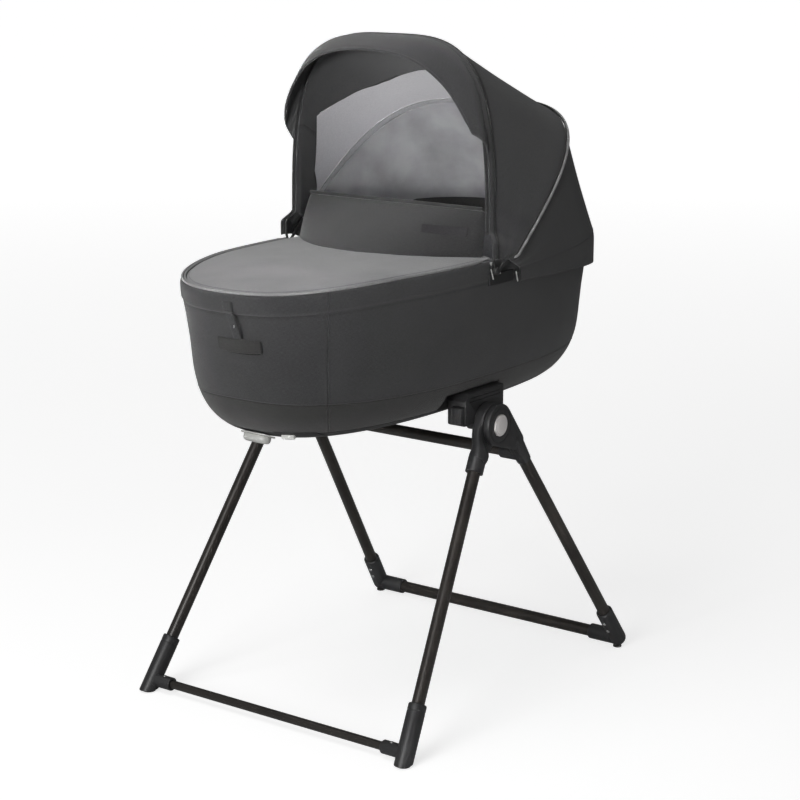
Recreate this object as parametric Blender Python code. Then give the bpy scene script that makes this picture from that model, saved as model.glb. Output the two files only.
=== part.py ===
"""Carrycot on a folding A-frame stand.

Row frame: the floor is z = 0, +X is the cot's right-hand side, -Y is its foot end and +Y its
head end. The cot and the stand are symmetric about X = 0, apart from small fittings at the foot.
"""
import math

import bmesh
import bpy
from mathutils import Matrix, Vector

# Clearances between neighbouring pieces
TOUCH = 0.0003
RUNNING = 0.0004

# Rim of the cot, which sets its plan and the width of the stand
RIM_HALF_WIDTH = 0.215
RIM_FOOT_REACH = 0.458
RIM_HEAD_REACH = 0.450

# Stand, side view
PIVOT_Y = -0.015
PIVOT_Z = 0.497
FOOT_HALF_BASE = 0.340
FOOT_HALF_TRACK = RIM_HALF_WIDTH + 0.06325
BAR_HEIGHT = 0.019
LEG_LEAN = math.radians(6.43)
FRONT_LEG_OFFSET = 0.0202
REAR_LEG_OFFSET = 0.0269

# Stand, tubes and mouldings
LEG_RADIUS = 0.011
LEG_WALL = 0.0015
FRONT_BAR_RADIUS = 0.0074
REAR_BAR_RADIUS = 0.011
UPPER_BAR_RADIUS = 0.0105
SLEEVE_RADIUS = 0.0155
BAR_SOCKET_RADIUS = 0.0145
FRONT_SOCKET_RADIUS = 0.0118
PAD_HEIGHT = 0.004
PAD_RADIUS = {-1: 0.012, 1: 0.008}
FRONT_FOOT_LENGTH = 0.097
REAR_FOOT_LENGTH = 0.075
FRONT_SOCKET_LENGTH = 0.046
REAR_SOCKET_LENGTH = 0.058
RIVET_RADIUS = 0.0034
RIVET_HEAD = 0.0012
RIVET_PLACES = (0.022, 0.042)

# Stand, hinge stack on the right side, from the cot outwards
HINGE_RADIUS = 0.037
ADAPTER_INNER_X = RIM_HALF_WIDTH - 0.045
ADAPTER_OUTER_X = RIM_HALF_WIDTH - 0.0073
FRONT_PLATE_THICKNESS = 0.020
REAR_PLATE_THICKNESS = 0.012
PIN_RADIUS = 0.005
FOLD_BUTTON_RADIUS = 0.0196
FOLD_BUTTON_PROUD = 0.0055
FOLD_BUTTON_TRAVEL = 0.004
BUTTON_POCKET_DEPTH = 0.009
SLEEVE_START = 0.052
FRONT_SLEEVE_END = 0.096
REAR_SLEEVE_END = 0.114
UPPER_BAR_REACH = 0.0984

# Stand, cot adapters
ADAPTER_FRONT_Y = -0.075
ADAPTER_REAR_Y = 0.045
ADAPTER_BASE_Z = PIVOT_Z + 0.003
ADAPTER_TOP_Z = ADAPTER_BASE_Z + 0.056
ADAPTER_BUTTON_FRONT_Y = -0.098
ADAPTER_BUTTON_HALF_WIDTH = 0.0125
ADAPTER_BUTTON_X = ADAPTER_INNER_X + 0.018
ADAPTER_BUTTON_LOW_Z = ADAPTER_BASE_Z + 0.015
ADAPTER_BUTTON_HIGH_Z = ADAPTER_BASE_Z + 0.040
ADAPTER_BUTTON_TRAVEL = 0.004
ADAPTER_BUTTON_SEAT = 0.0085
SOCKET_WALL = 0.0025
SOCKET_END_ROOM = 0.004

# Cot body
BOTTOM_Z = ADAPTER_BASE_Z + 0.014
RIM_Z = BOTTOM_Z + 0.263
TUCK_START_Z = BOTTOM_Z + 0.106
TUCK = 0.067
TUCK_POWER = 2.4
SIDE_TAPER = 0.017
FOOT_TAPER = 0.045
HEAD_TAPER = 0.043
TAPER_POWER = 1.3
FOOT_SQUARENESS = 2.6
HEAD_SQUARENESS = 3.4
FOOT_DIP = 0.012
FOOT_DIP_START = 0.22
RING_POINTS = 44
FABRIC = 0.0025
SHELL_LEVELS = tuple(BOTTOM_Z + rise for rise in (0.0, 0.001, 0.004, 0.0095))
SHELL_TOP_Z = BOTTOM_Z + 0.0155
BAND_HEIGHT = 0.0585
BAND_LEVELS = tuple(SHELL_TOP_Z + BAND_HEIGHT * share for share in (0.12, 0.28, 0.555, 1))
BAND_TOP_Z = BAND_LEVELS[-1]
COLLAR_HEIGHT = 0.035
COLLAR_Z = RIM_Z - COLLAR_HEIGHT
COLLAR_BULGE = 0.0025
COLLAR_SHAPE = ((0.0, 0.0), (0.12, 0.65), (0.4, 1.0), (0.7, 0.92), (0.93, 0.5), (1.0, 0.0))
TRAY_WALL = 0.003
TRAY_UPSTAND_Z = BAND_TOP_Z + 0.042
TRAY_MIDDLE_Z = BAND_TOP_Z + 0.021
FABRIC_MIDDLE_Z = (TRAY_UPSTAND_Z + COLLAR_Z) / 2
RIM_FRAME_WIDTH = 0.010
RIM_FRAME_HEIGHT = 0.020
LINER_LEVELS = (BOTTOM_Z + 0.0485, BOTTOM_Z + 0.066, TRAY_MIDDLE_Z, FABRIC_MIDDLE_Z, RIM_Z - 0.002)

# Cot interior
BOARD = 0.004
BOARD_SIDE_ROOM = 0.073
BOARD_FOOT_ROOM = 0.108
BOARD_HEAD_ROOM = 0.100
BOARD_HALF_WIDTH = RIM_HALF_WIDTH - BOARD_SIDE_ROOM
BOARD_FOOT_REACH = RIM_FOOT_REACH - BOARD_FOOT_ROOM
BOARD_HEAD_REACH = RIM_HEAD_REACH - BOARD_HEAD_ROOM
BACKREST_ROD_RADIUS = 0.0018
BOARD_GAP = 0.0025
MATTRESS = 0.035
MATTRESS_MARGIN = 0.008
MATTRESS_EDGE = 0.008

# Apron and wind flap
APRON = 0.003
APRON_CROWN = 0.009
APRON_INSET = 0.0045
PIPING_RADIUS = 0.0024
PIPING_INSET = 0.0016
PIPING_START_Y = -0.034
FLAP_HALF_WIDTH = RIM_HALF_WIDTH - 0.018
FLAP_CORNER_Y = -0.015
FLAP_BULGE = 0.110
FLAP_BULGE_POWER = 2.2
FLAP_TOP_Y = 0.0025
FLAP_TOP_Z = RIM_Z + 0.0815
FLAP_TOP_HALF_WIDTH = RIM_HALF_WIDTH - 0.022
BATTEN_RADIUS = 0.0022
FLAP_AXIS_Y = -0.060
FLAP_AXIS_Z = RIM_Z + 0.013

# Hood
HOOD_AXIS_Y = -0.012
HOOD_AXIS_Z = RIM_Z - 0.015
ARCH_BASE_Y = 0.0
ARCH_BASE_Z = RIM_Z - 0.011
FRONT_HALF_WIDTH = RIM_HALF_WIDTH - 0.001
FRONT_HEIGHT = 0.381
FRONT_SQUARENESS = 3.6
FRONT_LEAN = 0.013
MID_HALF_WIDTH = RIM_HALF_WIDTH + 0.028
MID_HEIGHT = 0.390
MID_SQUARENESS = 3.5
MID_ELEVATION = math.radians(39.8)
MID_LEAN = 0.0046
VISOR_HALF_WIDTH = RIM_HALF_WIDTH + 0.013
VISOR_HEIGHT = 0.357
VISOR_SQUARENESS = 2.7
VISOR_START = math.radians(30)
VISOR_TIP = 0.030
VISOR_DEPTH = 0.030
VISOR_COLUMNS = 20
CRANK_START = 0.040
CRANK_END = 0.064
BAND_WIDTH = 0.0152
HOOD_STATIONS = (2.6, 5.5, 8.5, 12.0)
HOOD_STATION_STEP = 6.5
HOOD_STATION_COUNT = 24
HOOD_ROW_COUNT = 2
LINING = 0.0015
LINING_INSET = 0.0083
BOW_INSET = 0.006
BOW_THICKNESS = 0.0036
BOW_HALF_WIDTH = 0.0025
BOW_FORWARD = 0.0055
BOW_EYE_RADIUS = 0.0065
HEM_OUTSET = 0.0105
HEM_TOP_Z = RIM_Z - 0.020
HEM_TOP_RISE = 0.027
HEM_FRONT_Z = RIM_Z - 0.042
HEM_DROP = 0.030
HEM_START = math.radians(8)
MESH_INSET = 0.004
BRACKET_THICKNESS = 0.004
BRACKET_FRONT_Y = -0.030
BRACKET_REAR_Y = 0.058
BRACKET_LOW_Z = RIM_Z - 0.0425
BRACKET_HIGH_Z = RIM_Z - 0.020
BRACKET_EAR_RADIUS = 0.010
STUD_RADIUS = 0.0025
STUD_HEAD_RADIUS = 0.0045
STUD_HEAD_THICKNESS = 0.0016
PULL_RADIUS = 0.0022
PULL_LENGTH = 0.014
PULL_PLACES = [(-0.022, RIM_Z - 0.0225), (-0.0075, RIM_Z - 0.0305), (0.048, RIM_Z - 0.032)]

# Fittings at the foot end
KNOB_HALF_LENGTH = 0.026
KNOB_HALF_WIDTH = 0.014
KNOB_HEIGHT = 0.012
KNOB_SQUARENESS = 2.3
KNOB_SEAT_Z = BOTTOM_Z + 0.0055
KNOB_PLATE = 0.002
KNOB_PLATE_MARGIN = 0.007
KNOB_SHAFT_RADIUS = 0.004
KNOB_SHAFT_LENGTH = 0.012
VENT_START_X = 0.046
VENT_END_X = 0.104
VENT_LEVEL_Z = BOTTOM_Z + 0.0135
VENT_HALF_HEIGHT = 0.0055
VENT_PLATE = 0.0014
VENT_LIFT = 0.0008
SLIDER_X = 0.065
SLIDER_LENGTH = 0.022
SLIDER_HEIGHT = 0.006
SLIDER_PROUD = 0.0065
STRAP_LIFT = 0.0007
STRAP_THICKNESS = 0.0018
TAB_CENTRE_X = 0.016
TAB_HALF_WIDTH = 0.0095
TAB_LOW_Z = RIM_Z - 0.0285
TAB_HIGH_Z = RIM_Z - 0.0115
STRAP_HALF_WIDTH = 0.0075
STRAP_END_X = 0.0275
STRAP_END_Z = RIM_Z - 0.0735
HOOK_START = (0.0265, RIM_Z - 0.0305)
HOOK_END = (0.0355, RIM_Z - 0.0735)
HOOK_HALF_WIDTH = 0.0052
HOOK_THICKNESS = 0.0025
POCKET_LEFT_X = -0.0135
POCKET_RIGHT_X = 0.067
POCKET_LOW_Z = RIM_Z - 0.101
POCKET_HIGH_Z = RIM_Z - 0.0765

SIDES = {"right": 1, "left": -1}


# Materials
def material(name, colour, roughness, metallic=0.0):
    made = bpy.data.materials.new(name)
    made.use_nodes = True
    shader = made.node_tree.nodes["Principled BSDF"]
    shader.inputs["Base Color"].default_value = (*colour, 1.0)
    shader.inputs["Roughness"].default_value = roughness
    shader.inputs["Metallic"].default_value = metallic
    return made


# Meshes
def loft(rings, closed=False):
    """Skin a list of equal rings. Open stacks get an end face at both ends."""
    shape = bmesh.new()
    rows = [[shape.verts.new(point) for point in ring] for ring in rings]
    count = len(rows[0])
    pairs = list(zip(rows, rows[1:]))
    if closed:
        pairs.append((rows[-1], rows[0]))
    for low, high in pairs:
        for i in range(count):
            k = (i + 1) % count
            shape.faces.new((low[i], low[k], high[k], high[i]))
    if not closed:
        shape.faces.new(rows[0])
        shape.faces.new(rows[-1])
    bmesh.ops.recalc_face_normals(shape, faces=shape.faces)
    return shape


def sheet(outer, inner):
    """Close two matching grids, listed as columns, into one thin solid.

    Both faces are split along the same diagonals, mirrored about the middle column.
    """
    shape = bmesh.new()
    grids = [[[shape.verts.new(point) for point in column] for column in grid] for grid in (outer, inner)]
    for grid in grids:
        for index, (low, high) in enumerate(zip(grid, grid[1:])):
            near, far = (low, high) if 2 * index < len(grid) - 1 else (high, low)
            for i in range(len(low) - 1):
                shape.faces.new((near[i], near[i + 1], far[i + 1]))
                shape.faces.new((near[i], far[i + 1], far[i]))
    borders = [grid[0] + [column[-1] for column in grid[1:-1]] + grid[-1][::-1]
               + [column[0] for column in reversed(grid[1:-1])] for grid in grids]
    for i in range(len(borders[0])):
        k = (i + 1) % len(borders[0])
        shape.faces.new((borders[0][i], borders[0][k], borders[1][k], borders[1][i]))
    bmesh.ops.recalc_face_normals(shape, faces=shape.faces)
    return shape


def across(direction):
    """Two unit vectors square to a direction."""
    direction = Vector(direction).normalized()
    helper = Vector((0, 0, 1)) if abs(direction.z) < 0.9 else Vector((1, 0, 0))
    first = direction.cross(helper).normalized()
    return first, direction.cross(first).normalized()


def circle(centre, direction, radius, sides):
    first, second = across(direction)
    turns = [2 * math.pi * i / sides for i in range(sides)]
    return [Vector(centre) + first * radius * math.cos(t) + second * radius * math.sin(t) for t in turns]


def rod(start, end, radius, sides=20):
    start, end = Vector(start), Vector(end)
    return loft([circle(start, end - start, radius, sides), circle(end, end - start, radius, sides)])


def pipe(start, end, radius, wall, sides=20):
    start, end = Vector(start), Vector(end)
    run = end - start
    places = [(start, radius), (end, radius), (end, radius - wall), (start, radius - wall)]
    return loft([circle(place, run, size, sides) for place, size in places], closed=True)


def domed_rod(start, end, radius, sides=20, steps=4):
    """A rod whose start is a half ball that reaches exactly to start."""
    start, end = Vector(start), Vector(end)
    along = (end - start).normalized()
    rings = []
    for i in range(1, steps + 1):
        turn = math.pi / 2 * i / steps
        centre = start + along * radius * (1 - math.cos(turn))
        rings.append(circle(centre, along, radius * math.sin(turn), sides))
    rings.append(circle(end, along, radius, sides))
    return loft(rings)


def box(low, high):
    shape = bmesh.new()
    bmesh.ops.create_cube(shape, size=1)
    low, high = Vector(low), Vector(high)
    size, centre = high - low, (high + low) / 2
    for vert in shape.verts:
        vert.co = Vector((vert.co.x * size.x, vert.co.y * size.y, vert.co.z * size.z)) + centre
    return shape


def side_box(side, near_x, far_x, low_y, high_y, low_z, high_z):
    low_x, high_x = sorted((side * near_x, side * far_x))
    return box((low_x, low_y, low_z), (high_x, high_y, high_z))


def slab(outline, start_x, end_x):
    """Extrude an outline of (y, z) points along X."""
    return loft([[Vector((x, y, z)) for y, z in outline] for x in (start_x, end_x)])


def soften(shape, width, segments=2):
    """Round the sharp edges of a shape."""
    edges = [edge for edge in shape.edges if edge.calc_face_angle(0.0) > math.radians(40)]
    bmesh.ops.bevel(shape, geom=edges, offset=width, segments=segments, profile=0.5, affect="EDGES",
                    clamp_overlap=True)
    return shape


def combine(base, tool, operation):
    """Boolean of two shapes; both are used up."""
    holders = []
    for shape in (base, tool):
        mesh = bpy.data.meshes.new("shape")
        shape.to_mesh(mesh)
        shape.free()
        holder = bpy.data.objects.new("shape", mesh)
        bpy.context.collection.objects.link(holder)
        holders.append(holder)
    modifier = holders[0].modifiers.new("combine", "BOOLEAN")
    modifier.operation = operation
    modifier.object = holders[1]
    evaluated = holders[0].evaluated_get(bpy.context.evaluated_depsgraph_get())
    result = bmesh.new()
    result.from_mesh(evaluated.to_mesh())
    for holder in holders:
        mesh = holder.data
        bpy.data.objects.remove(holder)
        bpy.data.meshes.remove(mesh)
    return result


def union(*shapes):
    result = shapes[0]
    for shape in shapes[1:]:
        result = combine(result, shape, "UNION")
    return result


def cut(base, *tools):
    for tool in tools:
        base = combine(base, tool, "DIFFERENCE")
    return base


def pivot(name, place):
    """An empty on a joint's axis, which carries the pieces of one moving body."""
    empty = bpy.data.objects.new(name, None)
    empty.location = place
    bpy.context.collection.objects.link(empty)
    return empty


def node(name, shape, finish, parent=None):
    """Turn a shape, given in the row frame, into a named object."""
    bmesh.ops.recalc_face_normals(shape, faces=shape.faces)
    mesh = bpy.data.meshes.new(name)
    shape.to_mesh(mesh)
    shape.free()
    mesh.shade_smooth()
    mesh.set_sharp_from_angle(angle=math.radians(35))
    mesh.materials.append(finish)
    made = bpy.data.objects.new(name, mesh)
    bpy.context.collection.objects.link(made)
    if parent:
        made.parent = parent
        made.matrix_parent_inverse = Matrix.Translation(-parent.location)
    return made


# Superellipses, which the cot's plan and the hood's arches follow
def superellipse(angle, power):
    c, s = math.cos(angle), math.sin(angle)
    reach = (abs(c) ** power + abs(s) ** power) ** (-1 / power)
    return reach * c, reach * s


# Legs of the stand
def leg_line(end):
    """Side view of a leg: its foot point, its unit direction upwards and its point nearest the pivot."""
    foot = Vector((end * FOOT_HALF_BASE, BAR_HEIGHT))
    reach = Vector((PIVOT_Y, PIVOT_Z)) - foot
    offset = FRONT_LEG_OFFSET if end < 0 else REAR_LEG_OFFSET
    turn = math.atan2(reach.y, reach.x) - end * math.asin(offset / reach.length)
    direction = Vector((math.cos(turn), math.sin(turn)))
    nearest = foot + direction * math.sqrt(reach.length ** 2 - offset ** 2)
    return foot, direction, nearest


def leg_point(side, end, drop):
    """Point on a leg's axis, at a distance down from its point nearest the pivot in the side view."""
    foot, direction, nearest = leg_line(end)
    y, z = nearest - direction * drop
    return Vector((side * (FOOT_HALF_TRACK - (z - BAR_HEIGHT) * math.tan(LEG_LEAN)), y, z))


def leg_drop_at(end, height):
    """The drop at which a leg's axis is at a height."""
    foot, direction, nearest = leg_line(end)
    return (nearest.y - height) / direction.y


def hull_outline(first, first_radius, second, second_radius, steps=12):
    """Outline round two circles, each given as a (y, z) centre and a radius."""
    run = second - first
    heading = math.atan2(run.y, run.x)
    spread = math.acos((first_radius - second_radius) / run.length)
    points = []
    for i in range(steps + 1):
        turn = heading + spread + (2 * math.pi - 2 * spread) * i / steps
        points.append((first.x + first_radius * math.cos(turn), first.y + first_radius * math.sin(turn)))
    for i in range(steps // 2 + 1):
        turn = heading - spread + 2 * spread * i / (steps // 2)
        points.append((second.x + second_radius * math.cos(turn), second.y + second_radius * math.sin(turn)))
    return points


FRONT_PLATE_X = ADAPTER_OUTER_X + TOUCH
REAR_PLATE_X = FRONT_PLATE_X + FRONT_PLATE_THICKNESS + 0.0005
REAR_PLATE_OUT_X = REAR_PLATE_X + REAR_PLATE_THICKNESS
TUBE_TOP = SLEEVE_START + 2 * SLEEVE_RADIUS


def hinge(side, end, plate_x, plate_thickness, sleeve_end):
    """Moulded hinge half: a round plate on the pivot, a neck and the sleeve that takes the leg."""
    centre = Vector((PIVOT_Y, PIVOT_Z))
    neck = leg_point(side, end, SLEEVE_START + SLEEVE_RADIUS)
    outline = hull_outline(centre, HINGE_RADIUS, Vector((neck.y, neck.z)), SLEEVE_RADIUS)
    plate = soften(slab(outline, side * plate_x, side * (plate_x + plate_thickness)), 0.003)
    sleeve = domed_rod(leg_point(side, end, SLEEVE_START), leg_point(side, end, sleeve_end), SLEEVE_RADIUS)
    return union(plate, sleeve)


def leg_bore(side, end, top, bottom):
    return rod(leg_point(side, end, top), leg_point(side, end, bottom), LEG_RADIUS + TOUCH)


def pin_bore(side, start_x, end_x):
    return rod((side * start_x, PIVOT_Y, PIVOT_Z), (side * end_x, PIVOT_Y, PIVOT_Z), PIN_RADIUS + RUNNING)


def rear_hinge(side):
    shape = hinge(side, 1, REAR_PLATE_X, REAR_PLATE_THICKNESS, REAR_SLEEVE_END)
    bar = leg_point(side, 1, UPPER_BAR_REACH)
    stub_x = bar.x - side * (SLEEVE_RADIUS + 0.022)
    stub = rod((bar.x, bar.y, bar.z), (stub_x, bar.y, bar.z), UPPER_BAR_RADIUS + 0.0035)
    shape = union(shape, stub)
    bar_end_x = bar.x - side * (SLEEVE_RADIUS + 0.002)
    floor_x = REAR_PLATE_OUT_X - BUTTON_POCKET_DEPTH
    return cut(
        shape,
        rod((bar_end_x, bar.y, bar.z), (stub_x - side * 0.01, bar.y, bar.z), UPPER_BAR_RADIUS + TOUCH),
        leg_bore(side, 1, TUBE_TOP - TOUCH, REAR_SLEEVE_END + 0.01),
        pin_bore(side, REAR_PLATE_X - 0.01, REAR_PLATE_OUT_X + 0.01),
        rod((side * floor_x, PIVOT_Y, PIVOT_Z), (side * (REAR_PLATE_OUT_X + 0.01), PIVOT_Y, PIVOT_Z),
            FOLD_BUTTON_RADIUS + RUNNING, 28),
    )


def front_hinge(side):
    return cut(
        hinge(side, -1, FRONT_PLATE_X, FRONT_PLATE_THICKNESS, FRONT_SLEEVE_END),
        leg_bore(side, -1, TUBE_TOP - TOUCH, FRONT_SLEEVE_END + 0.01),
        pin_bore(side, FRONT_PLATE_X - 0.01, REAR_PLATE_X + 0.01),
    )


def foot_drop(end):
    return leg_drop_at(end, BAR_HEIGHT)


def front_foot(side):
    """Long sleeve cap, cut level at the bottom, with a short socket for the thin front bar."""
    drop = foot_drop(-1)
    top = drop - (FRONT_FOOT_LENGTH - SLEEVE_RADIUS)
    corner = leg_point(side, -1, drop)
    sleeve = rod(leg_point(side, -1, top), leg_point(side, -1, drop + 0.05), SLEEVE_RADIUS)
    stub_x = corner.x - side * FRONT_SOCKET_LENGTH
    stub = rod(corner, (stub_x, corner.y, corner.z), FRONT_SOCKET_RADIUS)
    screw_x = corner.x - side * FRONT_SOCKET_LENGTH * 0.62
    screw_z = corner.z + FRONT_SOCKET_RADIUS
    screw = rod((screw_x, corner.y, screw_z - 0.003), (screw_x, corner.y, screw_z + RIVET_HEAD), RIVET_RADIUS, 12)
    shape = union(sleeve, stub, screw)
    start_x = corner.x - side * (SLEEVE_RADIUS + 0.002)
    return cut(
        shape,
        box((corner.x - 0.1, corner.y - 0.1, -0.1), (corner.x + 0.1, corner.y + 0.1, PAD_HEIGHT)),
        leg_bore(side, -1, top - 0.01, drop - 0.022),
        rod((start_x, corner.y, corner.z), (stub_x - side * 0.01, corner.y, corner.z), FRONT_BAR_RADIUS + TOUCH),
    )


def rear_foot(side):
    """Elbow cap: a sleeve on the leg and a socket on the rear bar, meeting in a round corner."""
    drop = foot_drop(1)
    corner = leg_point(side, 1, drop)
    top = drop - REAR_FOOT_LENGTH
    sleeve = rod(leg_point(side, 1, top), corner, SLEEVE_RADIUS)
    foot, direction, nearest = leg_line(1)
    facing = Vector((0, -direction.y, direction.x))
    rivets = []
    for reach in RIVET_PLACES:
        centre = leg_point(side, 1, top + reach)
        head = [centre + facing * (SLEEVE_RADIUS + rise) for rise in (-0.004, RIVET_HEAD)]
        rivets.append(rod(*head, RIVET_RADIUS, 12))
    ball = bmesh.new()
    bmesh.ops.create_uvsphere(ball, u_segments=20, v_segments=12, radius=SLEEVE_RADIUS,
                              matrix=Matrix.Translation(corner))
    stub_x = corner.x - side * REAR_SOCKET_LENGTH
    stub = rod(corner, (stub_x, corner.y, corner.z), BAR_SOCKET_RADIUS)
    shape = union(sleeve, ball, stub, *rivets)
    start_x = corner.x - side * (SLEEVE_RADIUS + 0.002)
    return cut(
        shape,
        box((corner.x - 0.1, corner.y - 0.1, -0.1), (corner.x + 0.1, corner.y + 0.1, PAD_HEIGHT)),
        leg_bore(side, 1, top - 0.01, drop - 0.022),
        rod((start_x, corner.y, corner.z), (stub_x - side * 0.01, corner.y, corner.z), REAR_BAR_RADIUS + TOUCH),
    )


def pad(side, end):
    drop = leg_drop_at(end, PAD_HEIGHT if end < 0 else BAR_HEIGHT)
    centre = leg_point(side, end, drop)
    radius = PAD_RADIUS[end]
    return rod((centre.x, centre.y, 0), (centre.x, centre.y, PAD_HEIGHT - TOUCH), radius, 16)


def bar(end, radius):
    """Cross tube between two feet, plugged into their sockets."""
    left, right = (leg_point(side, end, foot_drop(end)) for side in (-1, 1))
    inset = SLEEVE_RADIUS + 0.002 + TOUCH
    return pipe(left + Vector((inset, 0, 0)), right - Vector((inset, 0, 0)), radius, LEG_WALL, 16)


def build_stand(plastic, paint, grey, steel, rubber):
    front = pivot("front_frame_pivot", (0, PIVOT_Y, PIVOT_Z))
    for word, side in SIDES.items():
        foot_tops = {-1: foot_drop(-1) - 0.022 - TOUCH, 1: foot_drop(1) - 0.022 - TOUCH}
        node(f"rear_leg_{word}", pipe(leg_point(side, 1, TUBE_TOP), leg_point(side, 1, foot_tops[1]),
                                      LEG_RADIUS, LEG_WALL), paint)
        node(f"front_leg_{word}", pipe(leg_point(side, -1, TUBE_TOP), leg_point(side, -1, foot_tops[-1]),
                                       LEG_RADIUS, LEG_WALL), paint, front)
        node(f"rear_hinge_{word}", rear_hinge(side), plastic)
        node(f"front_hinge_{word}", front_hinge(side), plastic, front)
        node(f"rear_foot_{word}", rear_foot(side), plastic)
        node(f"front_foot_{word}", front_foot(side), plastic, front)
        node(f"adapter_{word}", adapter(side), plastic)
        pin_end_x = REAR_PLATE_OUT_X - BUTTON_POCKET_DEPTH - TOUCH
        node(f"pivot_pin_{word}", rod((side * (ADAPTER_INNER_X + 0.012), PIVOT_Y, PIVOT_Z),
                                      (side * pin_end_x, PIVOT_Y, PIVOT_Z), PIN_RADIUS), steel)
        node(f"rear_pad_{word}", pad(side, 1), rubber)
        node(f"front_pad_{word}", pad(side, -1), rubber, front)
        low_x = REAR_PLATE_OUT_X - BUTTON_POCKET_DEPTH + FOLD_BUTTON_TRAVEL + 0.0005
        high_x = REAR_PLATE_OUT_X + FOLD_BUTTON_PROUD
        press = pivot(f"fold_button_{word}_slide", (side * low_x, PIVOT_Y, PIVOT_Z))
        disc = rod((side * low_x, PIVOT_Y, PIVOT_Z), (side * high_x, PIVOT_Y, PIVOT_Z), FOLD_BUTTON_RADIUS, 28)
        node(f"fold_button_{word}", soften(disc, 0.0012), grey, press)
        node(f"adapter_button_{word}", adapter_button(side), plastic,
             pivot(f"adapter_button_{word}_slide", (side * ADAPTER_BUTTON_X, ADAPTER_FRONT_Y, ADAPTER_TOP_Z)))
    node("rear_bar", bar(1, REAR_BAR_RADIUS), paint)
    node("front_bar", bar(-1, FRONT_BAR_RADIUS), paint, front)
    upper = [leg_point(side, 1, UPPER_BAR_REACH) for side in (-1, 1)]
    inset = Vector((SLEEVE_RADIUS + 0.002 + TOUCH, 0, 0))
    node("upper_bar", pipe(upper[0] + inset, upper[1] - inset, UPPER_BAR_RADIUS, LEG_WALL, 16), paint)

def adapter(side):
    """Block that the cot clips onto, carried on the inner end of the pivot pin."""
    block = soften(side_box(side, ADAPTER_INNER_X, ADAPTER_OUTER_X, ADAPTER_FRONT_Y, ADAPTER_REAR_Y,
                            ADAPTER_BASE_Z, ADAPTER_TOP_Z), 0.003)
    boss = rod((side * (ADAPTER_INNER_X + 0.008), PIVOT_Y, PIVOT_Z), (side * ADAPTER_OUTER_X, PIVOT_Y, PIVOT_Z),
               0.015)
    pocket = side_box(side, ADAPTER_BUTTON_X - ADAPTER_BUTTON_HALF_WIDTH - RUNNING,
                      ADAPTER_BUTTON_X + ADAPTER_BUTTON_HALF_WIDTH + RUNNING,
                      ADAPTER_FRONT_Y - 0.01, ADAPTER_FRONT_Y + ADAPTER_BUTTON_SEAT + ADAPTER_BUTTON_TRAVEL + 0.001,
                      ADAPTER_BUTTON_LOW_Z - RUNNING, ADAPTER_BUTTON_HIGH_Z + RUNNING)
    return cut(union(block, boss), pocket, pin_bore(side, ADAPTER_INNER_X + 0.0115, ADAPTER_OUTER_X + 0.01))


def adapter_button(side):
    """Ribbed release button on the front of an adapter."""
    button = side_box(side, ADAPTER_BUTTON_X - ADAPTER_BUTTON_HALF_WIDTH,
                      ADAPTER_BUTTON_X + ADAPTER_BUTTON_HALF_WIDTH, ADAPTER_BUTTON_FRONT_Y,
                      ADAPTER_FRONT_Y + ADAPTER_BUTTON_SEAT, ADAPTER_BUTTON_LOW_Z, ADAPTER_BUTTON_HIGH_Z)
    return soften(button, 0.002)


# Cot body
def section(z):
    """Half width, foot reach and head reach of the cot's outer skin at a level."""
    fall = max(0.0, (RIM_Z - z) / (RIM_Z - BOTTOM_Z)) ** TAPER_POWER
    turn = min(1.0, max(0.0, (TUCK_START_Z - z) / (TUCK_START_Z - BOTTOM_Z)))
    tuck = TUCK * (1 - math.sqrt(1 - turn ** TUCK_POWER))
    return (RIM_HALF_WIDTH - SIDE_TAPER * fall - tuck, RIM_FOOT_REACH - FOOT_TAPER * fall - tuck,
            RIM_HEAD_REACH - HEAD_TAPER * fall - tuck)


def dipped(x, y, z):
    """The rim and the levels below it dip towards the foot end."""
    span = RIM_FOOT_REACH - FOOT_DIP_START
    dip = FOOT_DIP * max(0.0, min(1.0, (-y - FOOT_DIP_START) / span)) ** 1.5
    return Vector((x, y, z - dip * max(0.0, (z - BOTTOM_Z) / (RIM_Z - BOTTOM_Z))))


def plan_point(angle, half_width, foot, head):
    power = FOOT_SQUARENESS if math.sin(angle) < 0 else HEAD_SQUARENESS
    c, s = superellipse(angle, power)
    return half_width * c, (foot if s < 0 else head) * s


def skin_point(angle, z, outset=0.0):
    half_width, foot, head = section(z)
    x, y = plan_point(angle, half_width + outset, foot + outset, head + outset)
    return dipped(x, y, z)


def cot_ring(z, outset=0.0):
    return [skin_point(2 * math.pi * i / RING_POINTS, z, outset) for i in range(RING_POINTS)]


def flat_ring(half_width, foot, head, z):
    angles = [2 * math.pi * i / RING_POINTS for i in range(RING_POINTS)]
    return [Vector((*plan_point(angle, half_width, foot, head), z)) for angle in angles]


def wall(levels, thickness, inset=0.0):
    """Open ring-shaped wall from (z, outset) levels, lowest first."""
    outer = [cot_ring(z, outset - inset) for z, outset in levels]
    inner = [cot_ring(z, -inset - thickness) for z, outset in reversed(levels)]
    return loft(outer + inner, closed=True)


def collar(z):
    """How far the padded collar stands out of the skin at a level."""
    share = (z - COLLAR_Z) / (RIM_Z - COLLAR_Z)
    for (low, first), (high, second) in zip(COLLAR_SHAPE, COLLAR_SHAPE[1:]):
        if low <= share <= high:
            return COLLAR_BULGE * (first + (second - first) * (share - low) / (high - low))
    return 0.0


def recess(side, grow, low_z=BOTTOM_Z - 0.02):
    """Space in the cot's flank that takes the adapter and its button."""
    return side_box(side, ADAPTER_INNER_X - SOCKET_END_ROOM - grow, 0.25,
                    ADAPTER_BUTTON_FRONT_Y - SOCKET_END_ROOM - grow, ADAPTER_REAR_Y + SOCKET_END_ROOM + grow,
                    low_z, ADAPTER_TOP_Z + TOUCH + grow)


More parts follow.
